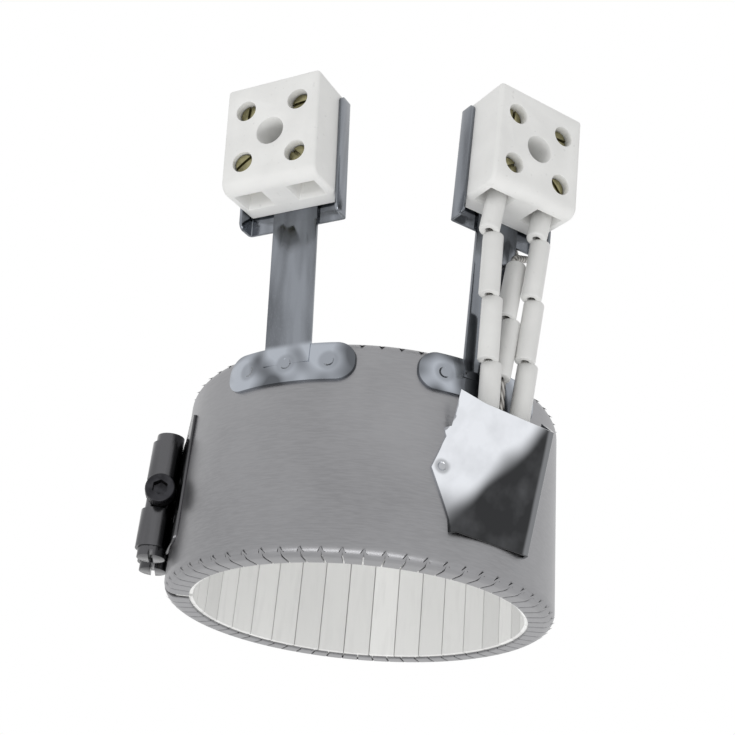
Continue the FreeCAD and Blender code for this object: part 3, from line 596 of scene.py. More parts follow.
def polished_sheet(name, steel, low, high, streak, welds, painted_reflection_below=None):
    """Bright drawn sheet: long soft streaks, light scratches and spot welds.

    Below a height it has broad light and dark patches, painted in the base colour and not reflected.
    """
    work = Finish(name, steel, 1.0, low)
    streaks = work.grain(Stretch=streak, Scale=160.0, Detail=2.0)
    scratches = work.grain(Stretch=tuple(0.2 + 3.0 * part for part in streak), Scale=1500.0)
    base = work.blend(work.span(streaks, 0.38, 0.64), tint(steel, 0.62), tint(steel, 1.15))
    base = work.layer(base, scratches, 0.55, 0.7, 0.25, tint(steel, 1.35))
    if painted_reflection_below is not None:
        # Painted reflection: below the given height, broad light and dark patches are laid over the base
        # colour.
        below = work.group(soft_step(), Direction=(0.0, 0.0, -1.0), At=-painted_reflection_below, Width=0.002,
                           Waviness=0.0)["Share"]
        patches_with_painted_reflection = work.blend(work.span(work.noise(85.0, 1.0), 0.42, 0.60), tint(steel, 0.5), tint(steel, 1.9))
        base = work.blend(below, base, patches_with_painted_reflection)
    under = work.bump(work.noise(70.0, 1.0), 0.25, 0.0004)
    work.colour(work.welds(base, welds, 0.0019, 0.35, tint(steel, 0.45), under))
    work.rough(work.span(work.noise(55.0), 0.3, 0.7, low, high))
    return work.material


def strap_steel(name):
    straps = bpy.context.scene.heater_straps
    welds = [polar(straps.face_radius, side["azimuth"] + offset, straps.foot_top - 0.0054)
             for side in STRAPS.values() for offset in (-12.5, 0.0, 12.5)]
    # The straps' feet, below their top, get the painted reflection patches.
    return polished_sheet(name, chosen("strap_steel"), 0.10, 0.2, (1.0, 1.0, 0.12), welds, straps.foot_top)


def cap_steel(name):
    """Mirror sheet; its broad bright and dark areas are painted in the base colour and not reflected."""
    steel = chosen("cap_steel")
    work = Finish(name, steel, 1.0, 0.05)
    along = Vector(polar(1.0, LEAD_AZIMUTH + 90))
    across = tuple(along * 0.8 - Vector((0, 0, 0.6)))
    # Painted reflection: a deep dark area over the lower corner, standing in for the room's dark side.
    painted_dark_reflection = work.group(soft_step(), Direction=across, At=-0.0005, Width=0.005, Waviness=0.012)["Share"]
    # Painted reflection: a brighter upper part, standing in for the room's light side.
    painted_bright_reflection = work.group(soft_step(), Direction=(0.0, 0.0, 1.0), At=-0.011, Width=0.008, Waviness=0.014)["Share"]
    # Painted reflection: the outer side wall is painted duller.
    rim = work.group(soft_step(), Direction=tuple(along), At=0.0105, Width=0.0012, Waviness=0.0015)["Share"]
    base = work.blend(painted_bright_reflection, tint(steel, 0.85), tint(steel, 2.0))
    base = work.blend(painted_dark_reflection, base, tint(steel, 0.09))
    base = work.blend(rim, base, tint(steel, 0.5))
    smear = work.noise(120.0)
    base = work.layer(base, smear, 0.45, 0.75, 0.2, tint(steel, 0.55))
    under = work.bump(work.noise(60.0, 1.0), 0.3, 0.0005)
    welds = [polar(0.0567, LEAD_AZIMUTH + side * 16.7, -0.0035) for side in (-1, 1)]
    work.colour(work.welds(base, welds, 0.0014, 0.5, tint(steel, 0.25), under))
    work.rough(work.span(smear, 0.3, 0.7, 0.04, 0.12))
    return work.material


def clamp_steel(name):
    welds = [polar(0.0568, SPLIT_AZIMUTH + side * 14.5, height)
             for side in (-1, 1) for height in (-0.012, 0.0, 0.012)]
    # The clamp's very dark base colour is a painted dark reflection of polished steel.
    return polished_sheet(name, chosen("clamp_steel"), 0.14, 0.26, (1.0, 1.0, 0.1), welds)


def pressed_ceramic(name, colour, speck, roughness):
    """Dry pressed ceramic: fine pits, faint clouds and a few darker specks."""
    work = Finish(name, colour, 0.0, roughness)
    clouds = work.noise(90.0, 4.0)
    base = work.blend(work.span(clouds, 0.3, 0.7), tint(colour, 0.94), tint(colour, 1.03))
    work.colour(work.layer(base, work.noise(700.0, 1.0), 0.70, 0.78, speck, tint(colour, 0.6)))
    work.rough(work.span(clouds, 0.3, 0.7, roughness - 0.08, roughness + 0.08))
    under = work.bump(work.noise(2200.0, 2.0), 0.18, 0.00008)
    work.bump(clouds, 0.10, 0.0004, under)
    return work.material


def block_ceramic(name):
    return pressed_ceramic(name, chosen("block_white"), 0.25, 0.5)


def bead_ceramic(name):
    return pressed_ceramic(name, chosen("bead_white"), 0.12, 0.42)


def tile_ceramic(name):
    """Fired tiles, each a little different, with soft marks along the bore."""
    colour = chosen("tile_white")
    band = bpy.context.scene.heater_band
    work = Finish(name, colour, 0.0, 0.48)
    unrolled = work.group(band_unrolled(), Radius=band.bore_radius)
    gap = band.split_gap / band.outer_radius
    start = math.radians(SPLIT_AZIMUTH) + gap / 2
    steps = work.group(shade_by_step(), Azimuth=unrolled["Azimuth"], Start=start,
                       Step=(2 * math.pi - gap) / band.tile_count)
    marks = work.grain(unrolled["Unrolled"], Stretch=(1.0, 0.14, 1.0), Scale=420.0)
    base = work.blend(steps["Shade"], tint(colour, 0.86), tint(colour, 1.05))
    base = work.layer(base, marks, 0.5, 0.72, 0.35, tint(colour, 0.8))
    work.colour(work.layer(base, steps["Seam"], 0.465, 0.5, 0.6, tint(colour, 0.45)))
    work.rough(work.span(marks, 0.3, 0.7, 0.38, 0.58))
    work.bump(work.noise(1600.0), 0.15, 0.00008)
    return work.material


def turned_metal(name, colour, roughness, dirt):
    """Small turned parts: fine tool lines with dull film in patches."""
    work = Finish(name, colour, 1.0, roughness)
    film = work.noise(420.0)
    work.colour(work.layer(tint(colour, 1.1), film, 0.42, 0.66, dirt, tint(colour, 0.42)))
    work.rough(work.span(film, 0.35, 0.7, roughness, roughness + 0.22))
    work.bump(work.grain(Stretch=(1.0, 1.0, 1.0), Scale=1800.0), 0.12, 0.00005)
    return work.material


def olive_brass(name):
    return turned_metal(name, chosen("brass"), 0.28, 0.7)


def plated_steel(name):
    return turned_metal(name, (0.27, 0.27, 0.25), 0.3, 0.6)


def black_oxide(name):
    return turned_metal(name, (0.045, 0.045, 0.05), 0.34, 0.5)


def coil_alloy(name):
    """Close-wound coil: turns as fine ridges across each rod."""
    work = Finish(name, (0.30, 0.29, 0.28), 1.0, 0.5)
    work.bump(work.wave("Z", 300.0).outputs["Fac"], 0.8, 0.0003)
    work.colour(work.blend(work.noise(300.0), (0.16, 0.15, 0.15), (0.36, 0.34, 0.33)))
    return work.material


def blanket_fibre(name):
    """Pale ceramic-fibre blanket."""
    work = Finish(name, (0.78, 0.76, 0.72), 0.0, 0.9)
    fibres = work.grain(Stretch=(1.0, 1.0, 6.0), Scale=900.0)
    work.colour(work.blend(fibres, (0.62, 0.60, 0.56), (0.88, 0.87, 0.84)))
    work.bump(fibres, 0.6, 0.0003)
    return work.material


def lead_strand(name):
    """Stranded nickel wire: slanting strands across its length."""
    work = Finish(name, (0.42, 0.41, 0.39), 1.0, 0.36)
    wave = work.wave("DIAGONAL", 320.0)
    wave.inputs["Distortion"].default_value = 0.6
    strands = wave.outputs["Fac"]
    work.bump(strands, 0.7, 0.0002)
    # The colour follows the strands' bump: darker in the grooves between strands, as painted shade.
    work.colour(work.blend(strands, (0.20, 0.19, 0.18), (0.5, 0.49, 0.47)))
    return work.material


FINISHES = {make.__name__: make for make in (
    satin_band_steel, strap_steel, cap_steel, clamp_steel, block_ceramic, bead_ceramic, tile_ceramic,
    olive_brass, plated_steel, black_oxide, coil_alloy, blanket_fibre, lead_strand)}


# Settings that a user would change

def length(name, description, default):
    return bpy.props.FloatProperty(name=name, description=description, default=default, unit="LENGTH")


def colour(name, description, default):
    return bpy.props.FloatVectorProperty(
        name=name, description=description, subtype="COLOR", default=default)


class HeaterBand(bpy.types.PropertyGroup):
    outer_radius: length("Outer Radius", "Outside of the shell", 0.056)
    bore_radius: length("Bore Radius", "Inside of the tiles", 0.0475)
    lip_radius: length("Lip Radius", "Inner edge of the flanges", 0.0486)
    edge_bend: length("Edge Bend", "Outer radius of the rolled edges", 0.0035)
    sheet: length("Sheet", "Thickness of the shell", 0.0007)
    split_gap: length("Split Gap", "Gap between the band's ends", 0.003)
    slit_count: bpy.props.IntProperty(name="Slits", description="Slits in each flange", default=64, min=8)
    slit_width: length("Slit Width", "Width of each slit at the lip", 0.00045)
    slit_turn: bpy.props.FloatProperty(
        name="Slit Turn", description="How far round the edge bend the slits run", default=math.radians(32),
        subtype="ANGLE")
    tile_count: bpy.props.IntProperty(name="Tiles", description="Tiles in the ring", default=36, min=6)
    tile_depth: length("Tile Depth", "Tile thickness", 0.005)
    tile_seam: length("Tile Seam", "Half the joint between tiles", 0.00006)
    tile_chamfer: length("Tile Chamfer", "Bevel on the tiles' edges", 0.00022)


class HeaterStraps(bpy.types.PropertyGroup):
    foot_top: length("Foot Top", "Height of the straps' feet", 0.0288)
    face_radius: length("Face Radius", "Outer face of the straps' feet", 0.057)
    edge: length("Edge", "Rounding on cut sheet edges", 0.00018)


class HeaterBlocks(bpy.types.PropertyGroup):
    width: length("Width", "Across the block", 0.0295)
    height: length("Height", "Up the block", 0.033)
    depth: length("Depth", "Front to back", 0.017)
    edge: length("Edge", "Rounded edges", 0.0012)
    brow: length("Brow", "Rounding of the lower front edge", 0.0032)
    pitch: length("Pitch", "Between the poles and between the screws", 0.0164)
    well: length("Well", "Screw well's radius", 0.0031)
    centre_well: length("Centre Well", "Mounting well's radius", 0.0042)
    rim: length("Rim", "Softened hole rims", 0.0003)


class HeaterLeads(bpy.types.PropertyGroup):
    bead_radius: length("Bead Radius", "Outside of a bead", 0.0029)
    bead_rim: length("Bead Rim", "Rounding at the beads' ends", 0.0006)
    bead_bore: length("Bead Bore", "Radius of the hole in a bead", 0.00105)


class HeaterFinishes(bpy.types.PropertyGroup):
    band_steel: colour("Band", "Satin shell steel", (0.30, 0.30, 0.31))
    strap_steel: colour("Straps", "Polished strap steel", (0.225, 0.24, 0.265))
    cap_steel: colour("Cap", "Mirror steel of the outlet cap", (0.40, 0.41, 0.43))
    # The clamp's dark colour is a painted dark reflection of polished steel, not a darker metal.
    clamp_steel: colour("Clamp", "Dark polished clamp steel", (0.10, 0.10, 0.105))
    block_white: colour("Blocks", "Pressed ceramic", (0.87, 0.87, 0.855))
    bead_white: colour("Beads", "Bead ceramic", (0.80, 0.80, 0.785))
    tile_white: colour("Tiles", "Fired tile ceramic", (0.90, 0.90, 0.885))
    brass: colour("Brass", "Dull olive brass", (0.27, 0.25, 0.14))


class HeaterStage(bpy.types.PropertyGroup):
    floor_shade: colour("Floor", "Colour of the floor", (0.82, 0.82, 0.82))
    fill: bpy.props.FloatProperty(name="Fill", description="Level of the room's light", default=0.55)
    key: bpy.props.FloatProperty(name="Key", description="Power of the lamps", default=0.62)


# Shell and lining

BEND_STEPS = 12
TAB_COLUMNS = 6
SHELL_EDGE = 0.16               # rounding on the shell's cut edges, as a share of its sheet


def shell_profile(band):
    """(radius, height, slit share) down the outer face of the shell, from the lower lip to the upper."""
    bend = band.edge_bend
    corner = band.outer_radius - bend
    wall = HALF_HEIGHT - bend
    half = []
    for share in (0.0, 0.25, 0.5, 0.75):
        half.append((band.lip_radius + (corner - band.lip_radius) * share, HALF_HEIGHT, 1.0))
    for step in range(BEND_STEPS + 1):
        turn = math.pi / 2 * step / BEND_STEPS
        share = max(0.0, min(1.0, (band.slit_turn - turn) / (band.slit_turn * 0.5)))
        half.append((corner + bend * math.sin(turn), wall + bend * math.cos(turn), share))
    for share in (0.2, 0.5, 0.8):
        half.append((band.outer_radius, wall * (1 - share), 0.0))
    lower = [(radius, -height, share) for radius, height, share in half]
    return lower + [(band.outer_radius, 0.0, 0.0)] + list(reversed(half))


def shell_segment(band, step):
    """One tab's share of the shell, its outer face only, from one slit's middle to the next."""
    bm = bmesh.new()
    rows = []
    for radius, height, share in shell_profile(band):
        slit = math.degrees(band.slit_width / 2 / radius) * share
        row = []
        for column in range(TAB_COLUMNS + 1):
            azimuth = slit + (step - 2 * slit) * column / TAB_COLUMNS
            row.append(bm.verts.new(polar(radius, azimuth, height)))
        rows.append(row)
    skin(bm, rows, closed=False)
    return mesh_object("slotted_shell", bm)


class HEATER_OT_shell(bpy.types.Operator):
    """Rolls the slotted steel shell from its tabs"""
    bl_idname = "heater.shell"
    bl_label = "Slotted Shell"

    def execute(self, context):
        band = context.scene.heater_band
        material = finish("satin_band_steel")
        gap = math.degrees(band.split_gap / band.outer_radius)
        step = (360 - gap) / band.slit_count
        piece = shell_segment(band, step)
        repeat_round(piece, band.slit_count, step, SPLIT_AZIMUTH + gap / 2, material, 2e-6)
        outward = piece.data.polygons[0].normal.dot(piece.data.polygons[0].center) > 0
        wall = piece.modifiers.new("sheet", "SOLIDIFY")
        wall.thickness = band.sheet
        wall.offset = -1 if outward else 1
        settle(piece)
        soften(piece, band.sheet * SHELL_EDGE)
        finish_piece(piece, material, "shell_steel", "shell")
        return {"FINISHED"}


class HEATER_OT_tiles(bpy.types.Operator):
    """Sets the ring of ceramic tiles, and finishes the blanket and the coil behind them"""
    bl_idname = "heater.tiles"
    bl_label = "Tiles"

    def execute(self, context):
        band = context.scene.heater_band
        material = finish("tile_ceramic")
        gap = math.degrees(band.split_gap / band.outer_radius)
        step = (360 - gap) / band.tile_count
        outline = []
        for radius, order in ((band.bore_radius, 1), (band.bore_radius + band.tile_depth, -1)):
            half = step / 2 - math.degrees(band.tile_seam / band.bore_radius)
            for share in (-1, -0.6, -0.2, 0.2, 0.6, 1):
                outline.append(polar(radius, half * share * order).xy)
        height = HALF_HEIGHT - band.sheet
        tile = prism("ceramic_tile_ring", outline, 2 * height)
        tile.data.transform(Matrix.Translation((0, 0, -height)))
        soften(tile, band.tile_chamfer, 2, 30)
        repeat_round(tile, band.tile_count, step, SPLIT_AZIMUTH + (gap + step) / 2, material, 1e-7)
        smooth(tile, 50)
        finish_piece(tile, material, "tile_ceramic", "ceramic_tiles")
        dress("insulation_blanket", finish("blanket_fibre"))
        dress("heating_coil", finish("coil_alloy"))
        return {"FINISHED"}


# Clamp

CLAMP_HEAD_LENGTH = 0.005
CLAMP_SHANK = 0.0025
CLAMP_PITCH = 0.0008
KEY_FLATS = 0.004
KEY_DEPTH = 0.0026
KNURL_COUNT = 36
KNURL_RADIUS = 0.00017
KNURL_INSET = 0.00008
THREAD_OVERLAP = 0.0001


def threaded_rod(name, radius, pitch, start, end, segments=24):
    """A round thread along Z as one helical skin with flat ends."""
    bm = bmesh.new()
    depth = pitch * 0.5
    rings = []
    rows = int(round((end - start) / pitch * 4))
    for row in range(rows + 1):
        height = start + (end - start) * row / rows
        ring = []
        for step in range(segments):
            turn = step / segments
            phase = (height / pitch - turn) % 1.0
            fade = min(1.0, (height - start) / pitch, (end - height) / pitch)
            local = radius - depth * (0.5 - 0.5 * math.cos(2 * math.pi * phase)) * max(fade, 0.0)
            angle = 2 * math.pi * turn
            ring.append(bm.verts.new((local * math.cos(angle), local * math.sin(angle), height)))
        rings.append(ring)
    skin(bm, rings)
    bm.faces.new(list(reversed(rings[0])))
    bm.faces.new(rings[-1])
    return mesh_object(name, bm)


def join(piece, *others):
    """Adds other pieces' meshes to the first."""
    bm = bmesh.new()
    bm.from_mesh(piece.data)
    for other in others:
        bm.from_mesh(other.data)
        discard(other)
    bm.to_mesh(piece.data)
    bm.free()
    return piece


class HEATER_OT_clamp(bpy.types.Operator):
    """Makes the clamp: rolled lugs, cross barrels and the socket-head screw"""
    bl_idname = "heater.clamp"
    bl_label = "Clamp"

    def execute(self, context):
        edge = context.scene.heater_straps.edge
        for side in ("near", "far"):
            soften_node("clamp_lug_" + side, "rolled_lug_" + side, edge, "clamp_steel", "clamp_steel")
            soften_node("barrel_nut_" + side, "cross_barrel_" + side, 2 * edge, "clamp_steel", "clamp_steel")
        self.make_screw()
        return {"FINISHED"}

    def make_screw(self):
        """Knurled socket head on a threaded shank, lying along the local X."""
        across = station(SPLIT_AZIMUTH) @ Matrix.Rotation(math.radians(90), 4, "Y")
        low, high = local_box("clamp_screw", across)
        middle = (low + high) / 2
        head_radius = (high.x - low.x) / 2
        top = CLAMP_HEAD_LENGTH
        seat = high.z - top
        head = lathe("clamp_cap_screw", rounded_profile(
            [(0, 0), (head_radius, 0), (head_radius, top), (0, top)], 0.0005), 72)
        low_end, high_end = 0.0007, top - 0.0008
        ridges = lathe("ridge", [(0, low_end), (KNURL_RADIUS, low_end), (KNURL_RADIUS, high_end),
                                 (0, high_end)], 6)
        ridges.data.transform(Matrix.Translation((head_radius - KNURL_INSET, 0, 0)))
        repeat_round(ridges, KNURL_COUNT, 360 / KNURL_COUNT, 0, finish("black_oxide"), 1e-7)
        hexagon = [polar(KEY_FLATS / math.sqrt(3), 60 * corner).xy for corner in range(6)]
        key = prism("key", hexagon, 0.004)
        key.data.transform(Matrix.Translation((0, 0, top - KEY_DEPTH)))
        cut(head, [key])
        soften(head, 0.00012, 2, 40)
        join(head, ridges)
        head.data.transform(Matrix.Translation((middle.x, middle.y, seat)))
        thread = threaded_rod("thread", CLAMP_SHANK, CLAMP_PITCH, low.z, seat + THREAD_OVERLAP)
        thread.data.transform(Matrix.Translation((middle.x, middle.y, 0)))
        join(head, thread)
        smooth(head, 35)
        finish_piece(head, finish("black_oxide"), "black_screw", "clamp_screw", matrix=across,
                     body="clamp_screw")


# Straps and brackets

class HEATER_OT_straps(bpy.types.Operator):
    """Makes the spring straps and the brackets behind the terminal blocks"""
    bl_idname = "heater.straps"
    bl_label = "Straps"

    def execute(self, context):
        edge = context.scene.heater_straps.edge
        for side in STRAPS:
            for kind in ("strap", "bracket"):
                soften_node(kind + "_" + side, "spring_%s_%s" % (kind, side), edge, "strap_steel",
                            "strap_steel")
        return {"FINISHED"}


# Terminal blocks

CHANNEL_HALF = 0.0036
CHANNEL_BACK = -0.0056
CHANNEL_FRONT = -0.0122
CHANNEL_FLARE = 0.0008
FLARE_RUN = 0.0016
WELL_FLOOR = -0.0089
CENTRE_SEAT = -0.005
THROUGH_HOLE = 0.00215
CUT_PAST = 0.001                # cutters run past the faces by this much


def block_body(blocks, name):
    """The pressed body: rounded all over, most at its lower front edge."""
    half = blocks.width / 2
    piece = block_of(name, (-half, -blocks.depth, -blocks.height / 2), (half, 0, blocks.height / 2))
    bm = bmesh.new()
    bm.from_mesh(piece.data)
    lower_front = [edge for edge in bm.edges
                   if all(vertex.co.y < -blocks.depth / 2 and vertex.co.z < 0 for vertex in edge.verts)]
    bmesh.ops.bevel(bm, geom=lower_front, offset=blocks.brow, segments=8, profile=0.5, affect="EDGES")
    sharp = [edge for edge in bm.edges if len(edge.link_faces) == 2 and edge.calc_face_angle() > 0.8
             and not all(vertex.co.y > -1e-6 for vertex in edge.verts)]
    bmesh.ops.bevel(bm, geom=sharp, offset=blocks.edge, segments=5, profile=0.5, affect="EDGES")
    bm.to_mesh(piece.data)
    bm.free()
    return piece


def channel_cutter(x, blocks):
    """A wire channel through the block's height, wider at its mouths."""
    bm = bmesh.new()
    reach = blocks.height / 2
    rings = []
    for height, grow in ((-reach - CUT_PAST, 1.5), (-reach, 1.0), (-reach + FLARE_RUN, 0.0),
                         (reach - FLARE_RUN, 0.0), (reach, 1.0), (reach + CUT_PAST, 1.5)):
        wide = CHANNEL_HALF + CHANNEL_FLARE * grow
        near = CHANNEL_FRONT - CHANNEL_FLARE * grow
        far = CHANNEL_BACK + CHANNEL_FLARE * grow
        rings.append([bm.verts.new((x + along, across, height))
                      for along, across in ((-wide, near), (wide, near), (wide, far), (-wide, far))])
    skin(bm, rings)
    bm.faces.new(rings[0])
    bm.faces.new(rings[-1])
    return mesh_object("channel", bm)


class HEATER_OT_blocks(bpy.types.Operator):
    """Presses the two ceramic terminal blocks with their channels and wells"""
    bl_idname = "heater.blocks"
    bl_label = "Terminal Blocks"

    def execute(self, context):
        blocks = context.scene.heater_blocks
        for side in STRAPS:
            body = block_body(blocks, "pressed_block_" + side)
            half = blocks.pitch / 2
            front = -blocks.depth - CUT_PAST
            cutters = [rod("well", blocks.centre_well, (0, CENTRE_SEAT, 0), (0, front, 0), 48),
                       rod("through", THROUGH_HOLE, (0, CUT_PAST, 0), (0, CENTRE_SEAT - CUT_PAST, 0), 32)]
            for x in (-half, half):
                cutters.append(channel_cutter(x, blocks))
                for z in (-half, half):
                    cutters.append(rod("well", blocks.well, (x, WELL_FLOOR, z), (x, front, z), 40))
            cut(body, cutters)
            soften(body, blocks.rim, 3, 42)
            finish_piece(body, finish("block_ceramic"), "block_ceramic", "terminal_block_" + side,
                         matrix=block_station(side))
            for pole in (1, 2):
                dress("connector_%s_%d" % (side, pole), finish("olive_brass"))
        return {"FINISHED"}


# Screws and nuts in the blocks

NUT_EDGE = 0.0002
SLOT_HALF = 0.00045
SLOT_DEPTH = 0.0009
SCREWS = {                      # head's length, shank's radius, pitch
    "terminal": (0.002, 0.00175, 0.0006),
    "mount": (0.0026, 0.002, 0.0007),
}


def slotted_screw(name, head_radius, head_length, shank_radius, shank_length, pitch, slot_turn):
    """Cheese-head screw along Z with its seat at zero."""
    head = lathe(name, rounded_profile([(0, 0), (head_radius, 0), (head_radius, head_length),
                                        (0, head_length * 1.06)], 0.00035), 48)
    slot = block_of("slot", (-2 * head_radius, -SLOT_HALF, head_length - SLOT_DEPTH),
                    (2 * head_radius, SLOT_HALF, 2 * head_length))
    slot.data.transform(Matrix.Rotation(math.radians(slot_turn), 4, "Z"))
    cut(head, [slot])
    soften(head, 0.0001, 2, 40)
    thread = threaded_rod("thread", shank_radius, pitch, -shank_length, THREAD_OVERLAP, 20)
    join(head, thread)
    return smooth(head, 35)


class HEATER_OT_screws(bpy.types.Operator):
    """Drives the terminal screws and the mounting screws with their nuts"""
    bl_idname = "heater.screws"
    bl_label = "Screws"

    def execute(self, context):
        for side in STRAPS:
            outward = block_station(side) @ Matrix.Rotation(math.radians(90), 4, "X")
            for number in range(1, 5):
                node = "terminal_screw_%s_%d" % (side, number)
                self.drive(node, outward, "olive_brass", "brass", node, SCREWS["terminal"], 50 * number - 15)
            self.drive("mount_screw_" + side, outward, "plated_steel", "plated_steel", ROOT_BODY,
                       SCREWS["mount"], 60)
            soften_node("mount_nut_" + side, "hex_nut_" + side, NUT_EDGE, "plated_steel", "plated_steel")
        return {"FINISHED"}

    def drive(self, node, outward, material, slot, body, sizes, slot_turn):
        """Puts a screw where its CAD node is, its slot turned by some degrees."""
        head_length, shank, pitch = sizes
        low, high = local_box(node, outward)
        middle = (low + high) / 2
        seat = high.z - head_length
        screw = slotted_screw("slotted_" + node, (high.x - low.x) / 2, head_length, shank, seat - low.z,
                              pitch, slot_turn)
        screw.data.transform(Matrix.Translation((middle.x, middle.y, seat)))
        finish_piece(screw, finish(material), slot, node, matrix=outward, body=body)


# Outlet cap

class HEATER_OT_cap(bpy.types.Operator):
    """Rounds the edges of the polished outlet cap"""
    bl_idname = "heater.cap"
    bl_label = "Outlet Cap"

    def execute(self, context):
        soften_node("outlet_cap", "folded_cap", context.scene.heater_straps.edge, "cap_steel",
                    "polished_steel")
        return {"FINISHED"}


# Leads

CRIMP_EDGE = 0.0001


class HEATER_OT_leads(bpy.types.Operator):
    """Threads the ceramic beads on the leads and finishes the wires and their terminals"""
    bl_idname = "heater.leads"
    bl_label = "Leads"

    def execute(self, context):
        leads = context.scene.heater_leads
        for node in sorted(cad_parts):
            if node.startswith("bead_"):
                self.thread_bead(node, leads)
            elif "lead_wire" in node:
                dress(node, finish("lead_strand"))
        for node in ("earth_ring_terminal", "earth_weld_lug"):
            soften_node(node, node.replace("earth_", "crimped_"), CRIMP_EDGE, "plated_steel", "plated_steel")
        return {"FINISHED"}

    def thread_bead(self, node, leads):
        start, end = run_ends(node)
        reach = (end - start).length
        radius = leads.bead_radius
        bore = leads.bead_bore
        profile = rounded_profile([(bore, 0), (radius, 0), (radius, reach), (bore, reach)], leads.bead_rim, 4)
        bead = lathe("ceramic_" + node, profile, 48)
        smooth(bead, 60)
        place = Matrix.Translation(start) @ (end - start).to_track_quat("Z", "Y").to_matrix().to_4x4()
        finish_piece(bead, finish("bead_ceramic"), "bead_ceramic", node, matrix=place)


# Stage

EYE = Vector((0.0, -0.333617, -0.120330))
LOOK_AT = Vector((-0.0037915, 0.0, 0.050484))
ROLL = math.radians(5.325)
FOCAL_LENGTH = 57.563
FLOOR_HALF = 3.0
FLOOR_CLEAR = 0.0002            # under the part
LAMPS = (                       # name, place, aims at the part's middle, size, power, seen in mirrors
    ("key_left", (-0.55, -0.75, 0.55), True, (0.5, 0.7), 4.6, False),
    ("fill_right", (0.8, -0.35, 0.25), True, (0.3, 0.7), 1.6, False),
    ("edge_light", (-0.05, -0.32, -0.62), False, (0.7, 0.16), 1.8, True),
    ("from_below", (0.0, -0.1, -0.7), False, (0.6, 0.5), 2.6, False),
    ("from_behind", (0.2, 0.7, 0.5), True, (0.7, 0.5), 1.6, False),
)


def add_camera():
    """Looks up at the band from in front and a little below."""
    back = (EYE - LOOK_AT).normalized()
    right = Vector((0, 0, 1)).cross(back).normalized()
    up = back.cross(right)
    across = right * math.cos(ROLL) + up * math.sin(ROLL)
    upright = up * math.cos(ROLL) - right * math.sin(ROLL)
    data = bpy.data.cameras.new("studio_camera")
    data.lens = FOCAL_LENGTH
    data.sensor_width = 36.0
    data.clip_start = 0.005
    data.clip_end = 20.0
    camera = bpy.data.objects.new("studio_camera", data)
    turn = Matrix((across, upright, back)).transposed().to_4x4()
    camera.matrix_world = Matrix.Translation(EYE) @ turn
    bpy.context.scene.collection.objects.link(camera)
    bpy.context.scene.camera = camera


def add_lamp(name, place, target, size, power, mirrored):
    data = bpy.data.lights.new(name, "AREA")
    data.shape = "RECTANGLE"
    data.size, data.size_y = size
    data.energy = power
    lamp = bpy.data.objects.new(name, data)
    direction = Vector(place) - Vector(target)
    lamp.matrix_world = Matrix.Translation(place) @ direction.to_track_quat("Z", "Y").to_matrix().to_4x4()
    lamp.visible_glossy = mirrored
    bpy.context.scene.collection.objects.link(lamp)


def seen_directly(tree):
    """1 for rays that show the background: from the camera, by reflection or through glass."""
    path = tree.nodes.new("ShaderNodeLightPath")
    seen = math_node(tree, "MAXIMUM", path.outputs["Is Camera Ray"], path.outputs["Is Glossy Ray"])
    return math_node(tree, "MAXIMUM", seen, path.outputs["Is Transmission Ray"])


def floor_material(stage):
    """Pale floor, clear from below so that a low camera sees the part above it."""
    material = bpy.data.materials.new("studio_floor")
    material.use_nodes = True
    tree = material.node_tree
    tree.nodes.clear()
    links = tree.links
    matt = tree.nodes.new("ShaderNodeBsdfDiffuse")
    clear = tree.nodes.new("ShaderNodeBsdfTransparent")
    mix = tree.nodes.new("ShaderNodeMixShader")
    result = tree.nodes.new("ShaderNodeOutputMaterial")
    geometry = tree.nodes.new("ShaderNodeNewGeometry")
    path = tree.nodes.new("ShaderNodeLightPath")
    noise = tree.nodes.new("ShaderNodeTexNoise")
    noise.inputs["Scale"].default_value = 6.0
    shade = tree.nodes.new("ShaderNodeMix")
    shade.data_type = "RGBA"
    tones = [socket for socket in shade.inputs if socket.type == "RGBA"]
    tones[0].default_value = (*tint(tuple(stage.floor_shade), 0.99), 1)
    tones[1].default_value = (*tint(tuple(stage.floor_shade), 1.01), 1)
    links.new(noise.outputs["Fac"], shade.inputs["Factor"])
    links.new([socket for socket in shade.outputs if socket.type == "RGBA"][0], matt.inputs["Color"])
    hidden = math_node(tree, "MAXIMUM", geometry.outputs["Backfacing"], path.outputs["Is Shadow Ray"])
    links.new(hidden, mix.inputs["Fac"])
    links.new(matt.outputs[0], mix.inputs[1])
    links.new(clear.outputs[0], mix.inputs[2])
    links.new(mix.outputs[0], result.inputs["Surface"])
    return material


def add_floor(stage):
    bm = bmesh.new()
    bm.faces.new([bm.verts.new((x * FLOOR_HALF, y * FLOOR_HALF, 0))
                  for x, y in ((-1, -1), (1, -1), (1, 1), (-1, 1))])
    floor = mesh_object("studio_floor", bm)
    if floor.data.polygons[0].normal.z < 0:
        floor.data.flip_normals()
    floor.data.transform(Matrix.Translation((0, 0, -HALF_HEIGHT - FLOOR_CLEAR)))
    floor.data.materials.append(floor_material(stage))
    floor.visible_glossy = False
    floor.visible_diffuse = False


def add_room(stage):
    """White to look at; a softer level lights the part."""
    world = bpy.data.worlds.new("studio_room")
    bpy.context.scene.world = world
    world.use_nodes = True
    tree = world.node_tree
    background = tree.nodes["Background"]
    level = tree.nodes.new("ShaderNodeMix")
    level.data_type = "FLOAT"
    tree.links.new(seen_directly(tree), level.inputs["Factor"])
    numbers = [socket for socket in level.inputs if socket.type == "VALUE" and socket.name in ("A", "B")]
    numbers[0].default_value = stage.fill
    numbers[1].default_value = 1.0
    background.inputs["Color"].default_value = (1, 1, 1, 1)
    strength = [socket for socket in level.outputs if socket.type == "VALUE"][0]
    tree.links.new(strength, background.inputs["Strength"])


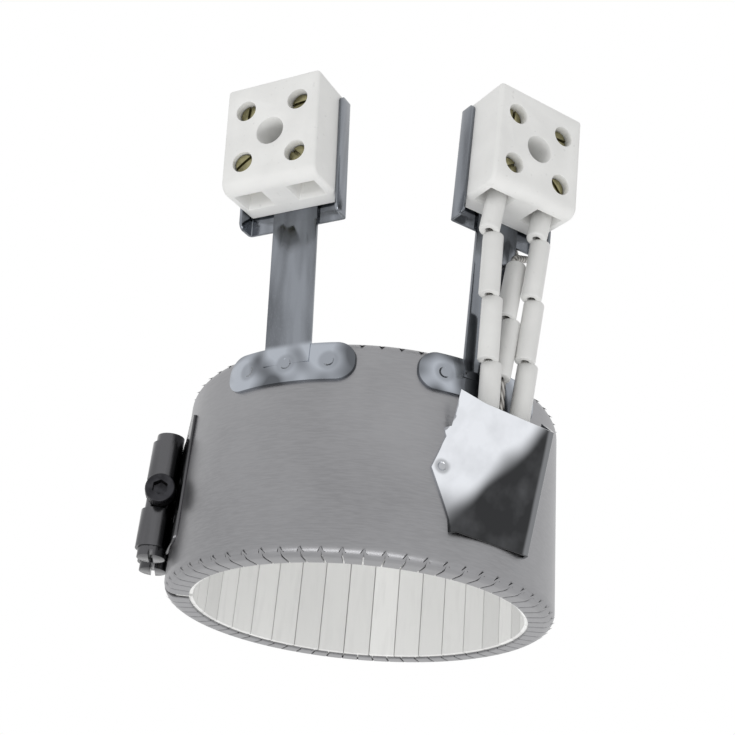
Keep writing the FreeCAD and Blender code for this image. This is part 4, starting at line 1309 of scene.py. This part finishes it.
class HEATER_OT_stage(bpy.types.Operator):
    """Sets the camera, the floor, the room and the lamps"""
    bl_idname = "heater.stage"
    bl_label = "Stage"

    def execute(self, context):
        stage = context.scene.heater_stage
        add_camera()
        add_floor(stage)
        add_room(stage)
        for name, place, at_middle, size, power, mirrored in LAMPS:
            add_lamp(name, place, (0, 0, 0.03 if at_middle else 0), size, power * stage.key, mirrored)
        context.scene.view_settings.view_transform = "Standard"
        return {"FINISHED"}


class HEATER_PT_build(bpy.types.Panel):
    """Lists the pieces in the order they are built"""
    bl_idname = "HEATER_PT_build"
    bl_label = "Band Heater"
    bl_space_type = "VIEW_3D"
    bl_region_type = "UI"
    bl_category = "Heater"

    def draw(self, context):
        for operator in BUILDERS:
            self.layout.operator(operator.bl_idname)


SETTINGS = {
    "heater_band": HeaterBand, "heater_straps": HeaterStraps, "heater_blocks": HeaterBlocks,
    "heater_leads": HeaterLeads, "heater_finishes": HeaterFinishes, "heater_stage": HeaterStage,
}
BUILDERS = (
    HEATER_OT_shell, HEATER_OT_tiles, HEATER_OT_clamp, HEATER_OT_straps, HEATER_OT_blocks,
    HEATER_OT_screws, HEATER_OT_cap, HEATER_OT_leads, HEATER_OT_stage,
)


def register():
    for name, group in SETTINGS.items():
        bpy.utils.register_class(group)
        setattr(bpy.types.Scene, name, bpy.props.PointerProperty(type=group))
    for operator in BUILDERS:
        bpy.utils.register_class(operator)
    bpy.utils.register_class(HEATER_PT_build)


def unregister():
    bpy.utils.unregister_class(HEATER_PT_build)
    for operator in reversed(BUILDERS):
        bpy.utils.unregister_class(operator)
    for name, group in SETTINGS.items():
        delattr(bpy.types.Scene, name)
        bpy.utils.unregister_class(group)


def main():
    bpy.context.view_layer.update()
    register()
    bpy.ops.heater.shell()
    bpy.ops.heater.tiles()
    bpy.ops.heater.clamp()
    bpy.ops.heater.straps()
    bpy.ops.heater.blocks()
    bpy.ops.heater.screws()
    bpy.ops.heater.cap()
    bpy.ops.heater.leads()
    bpy.ops.heater.stage()


if __name__ == "__main__":
    main()
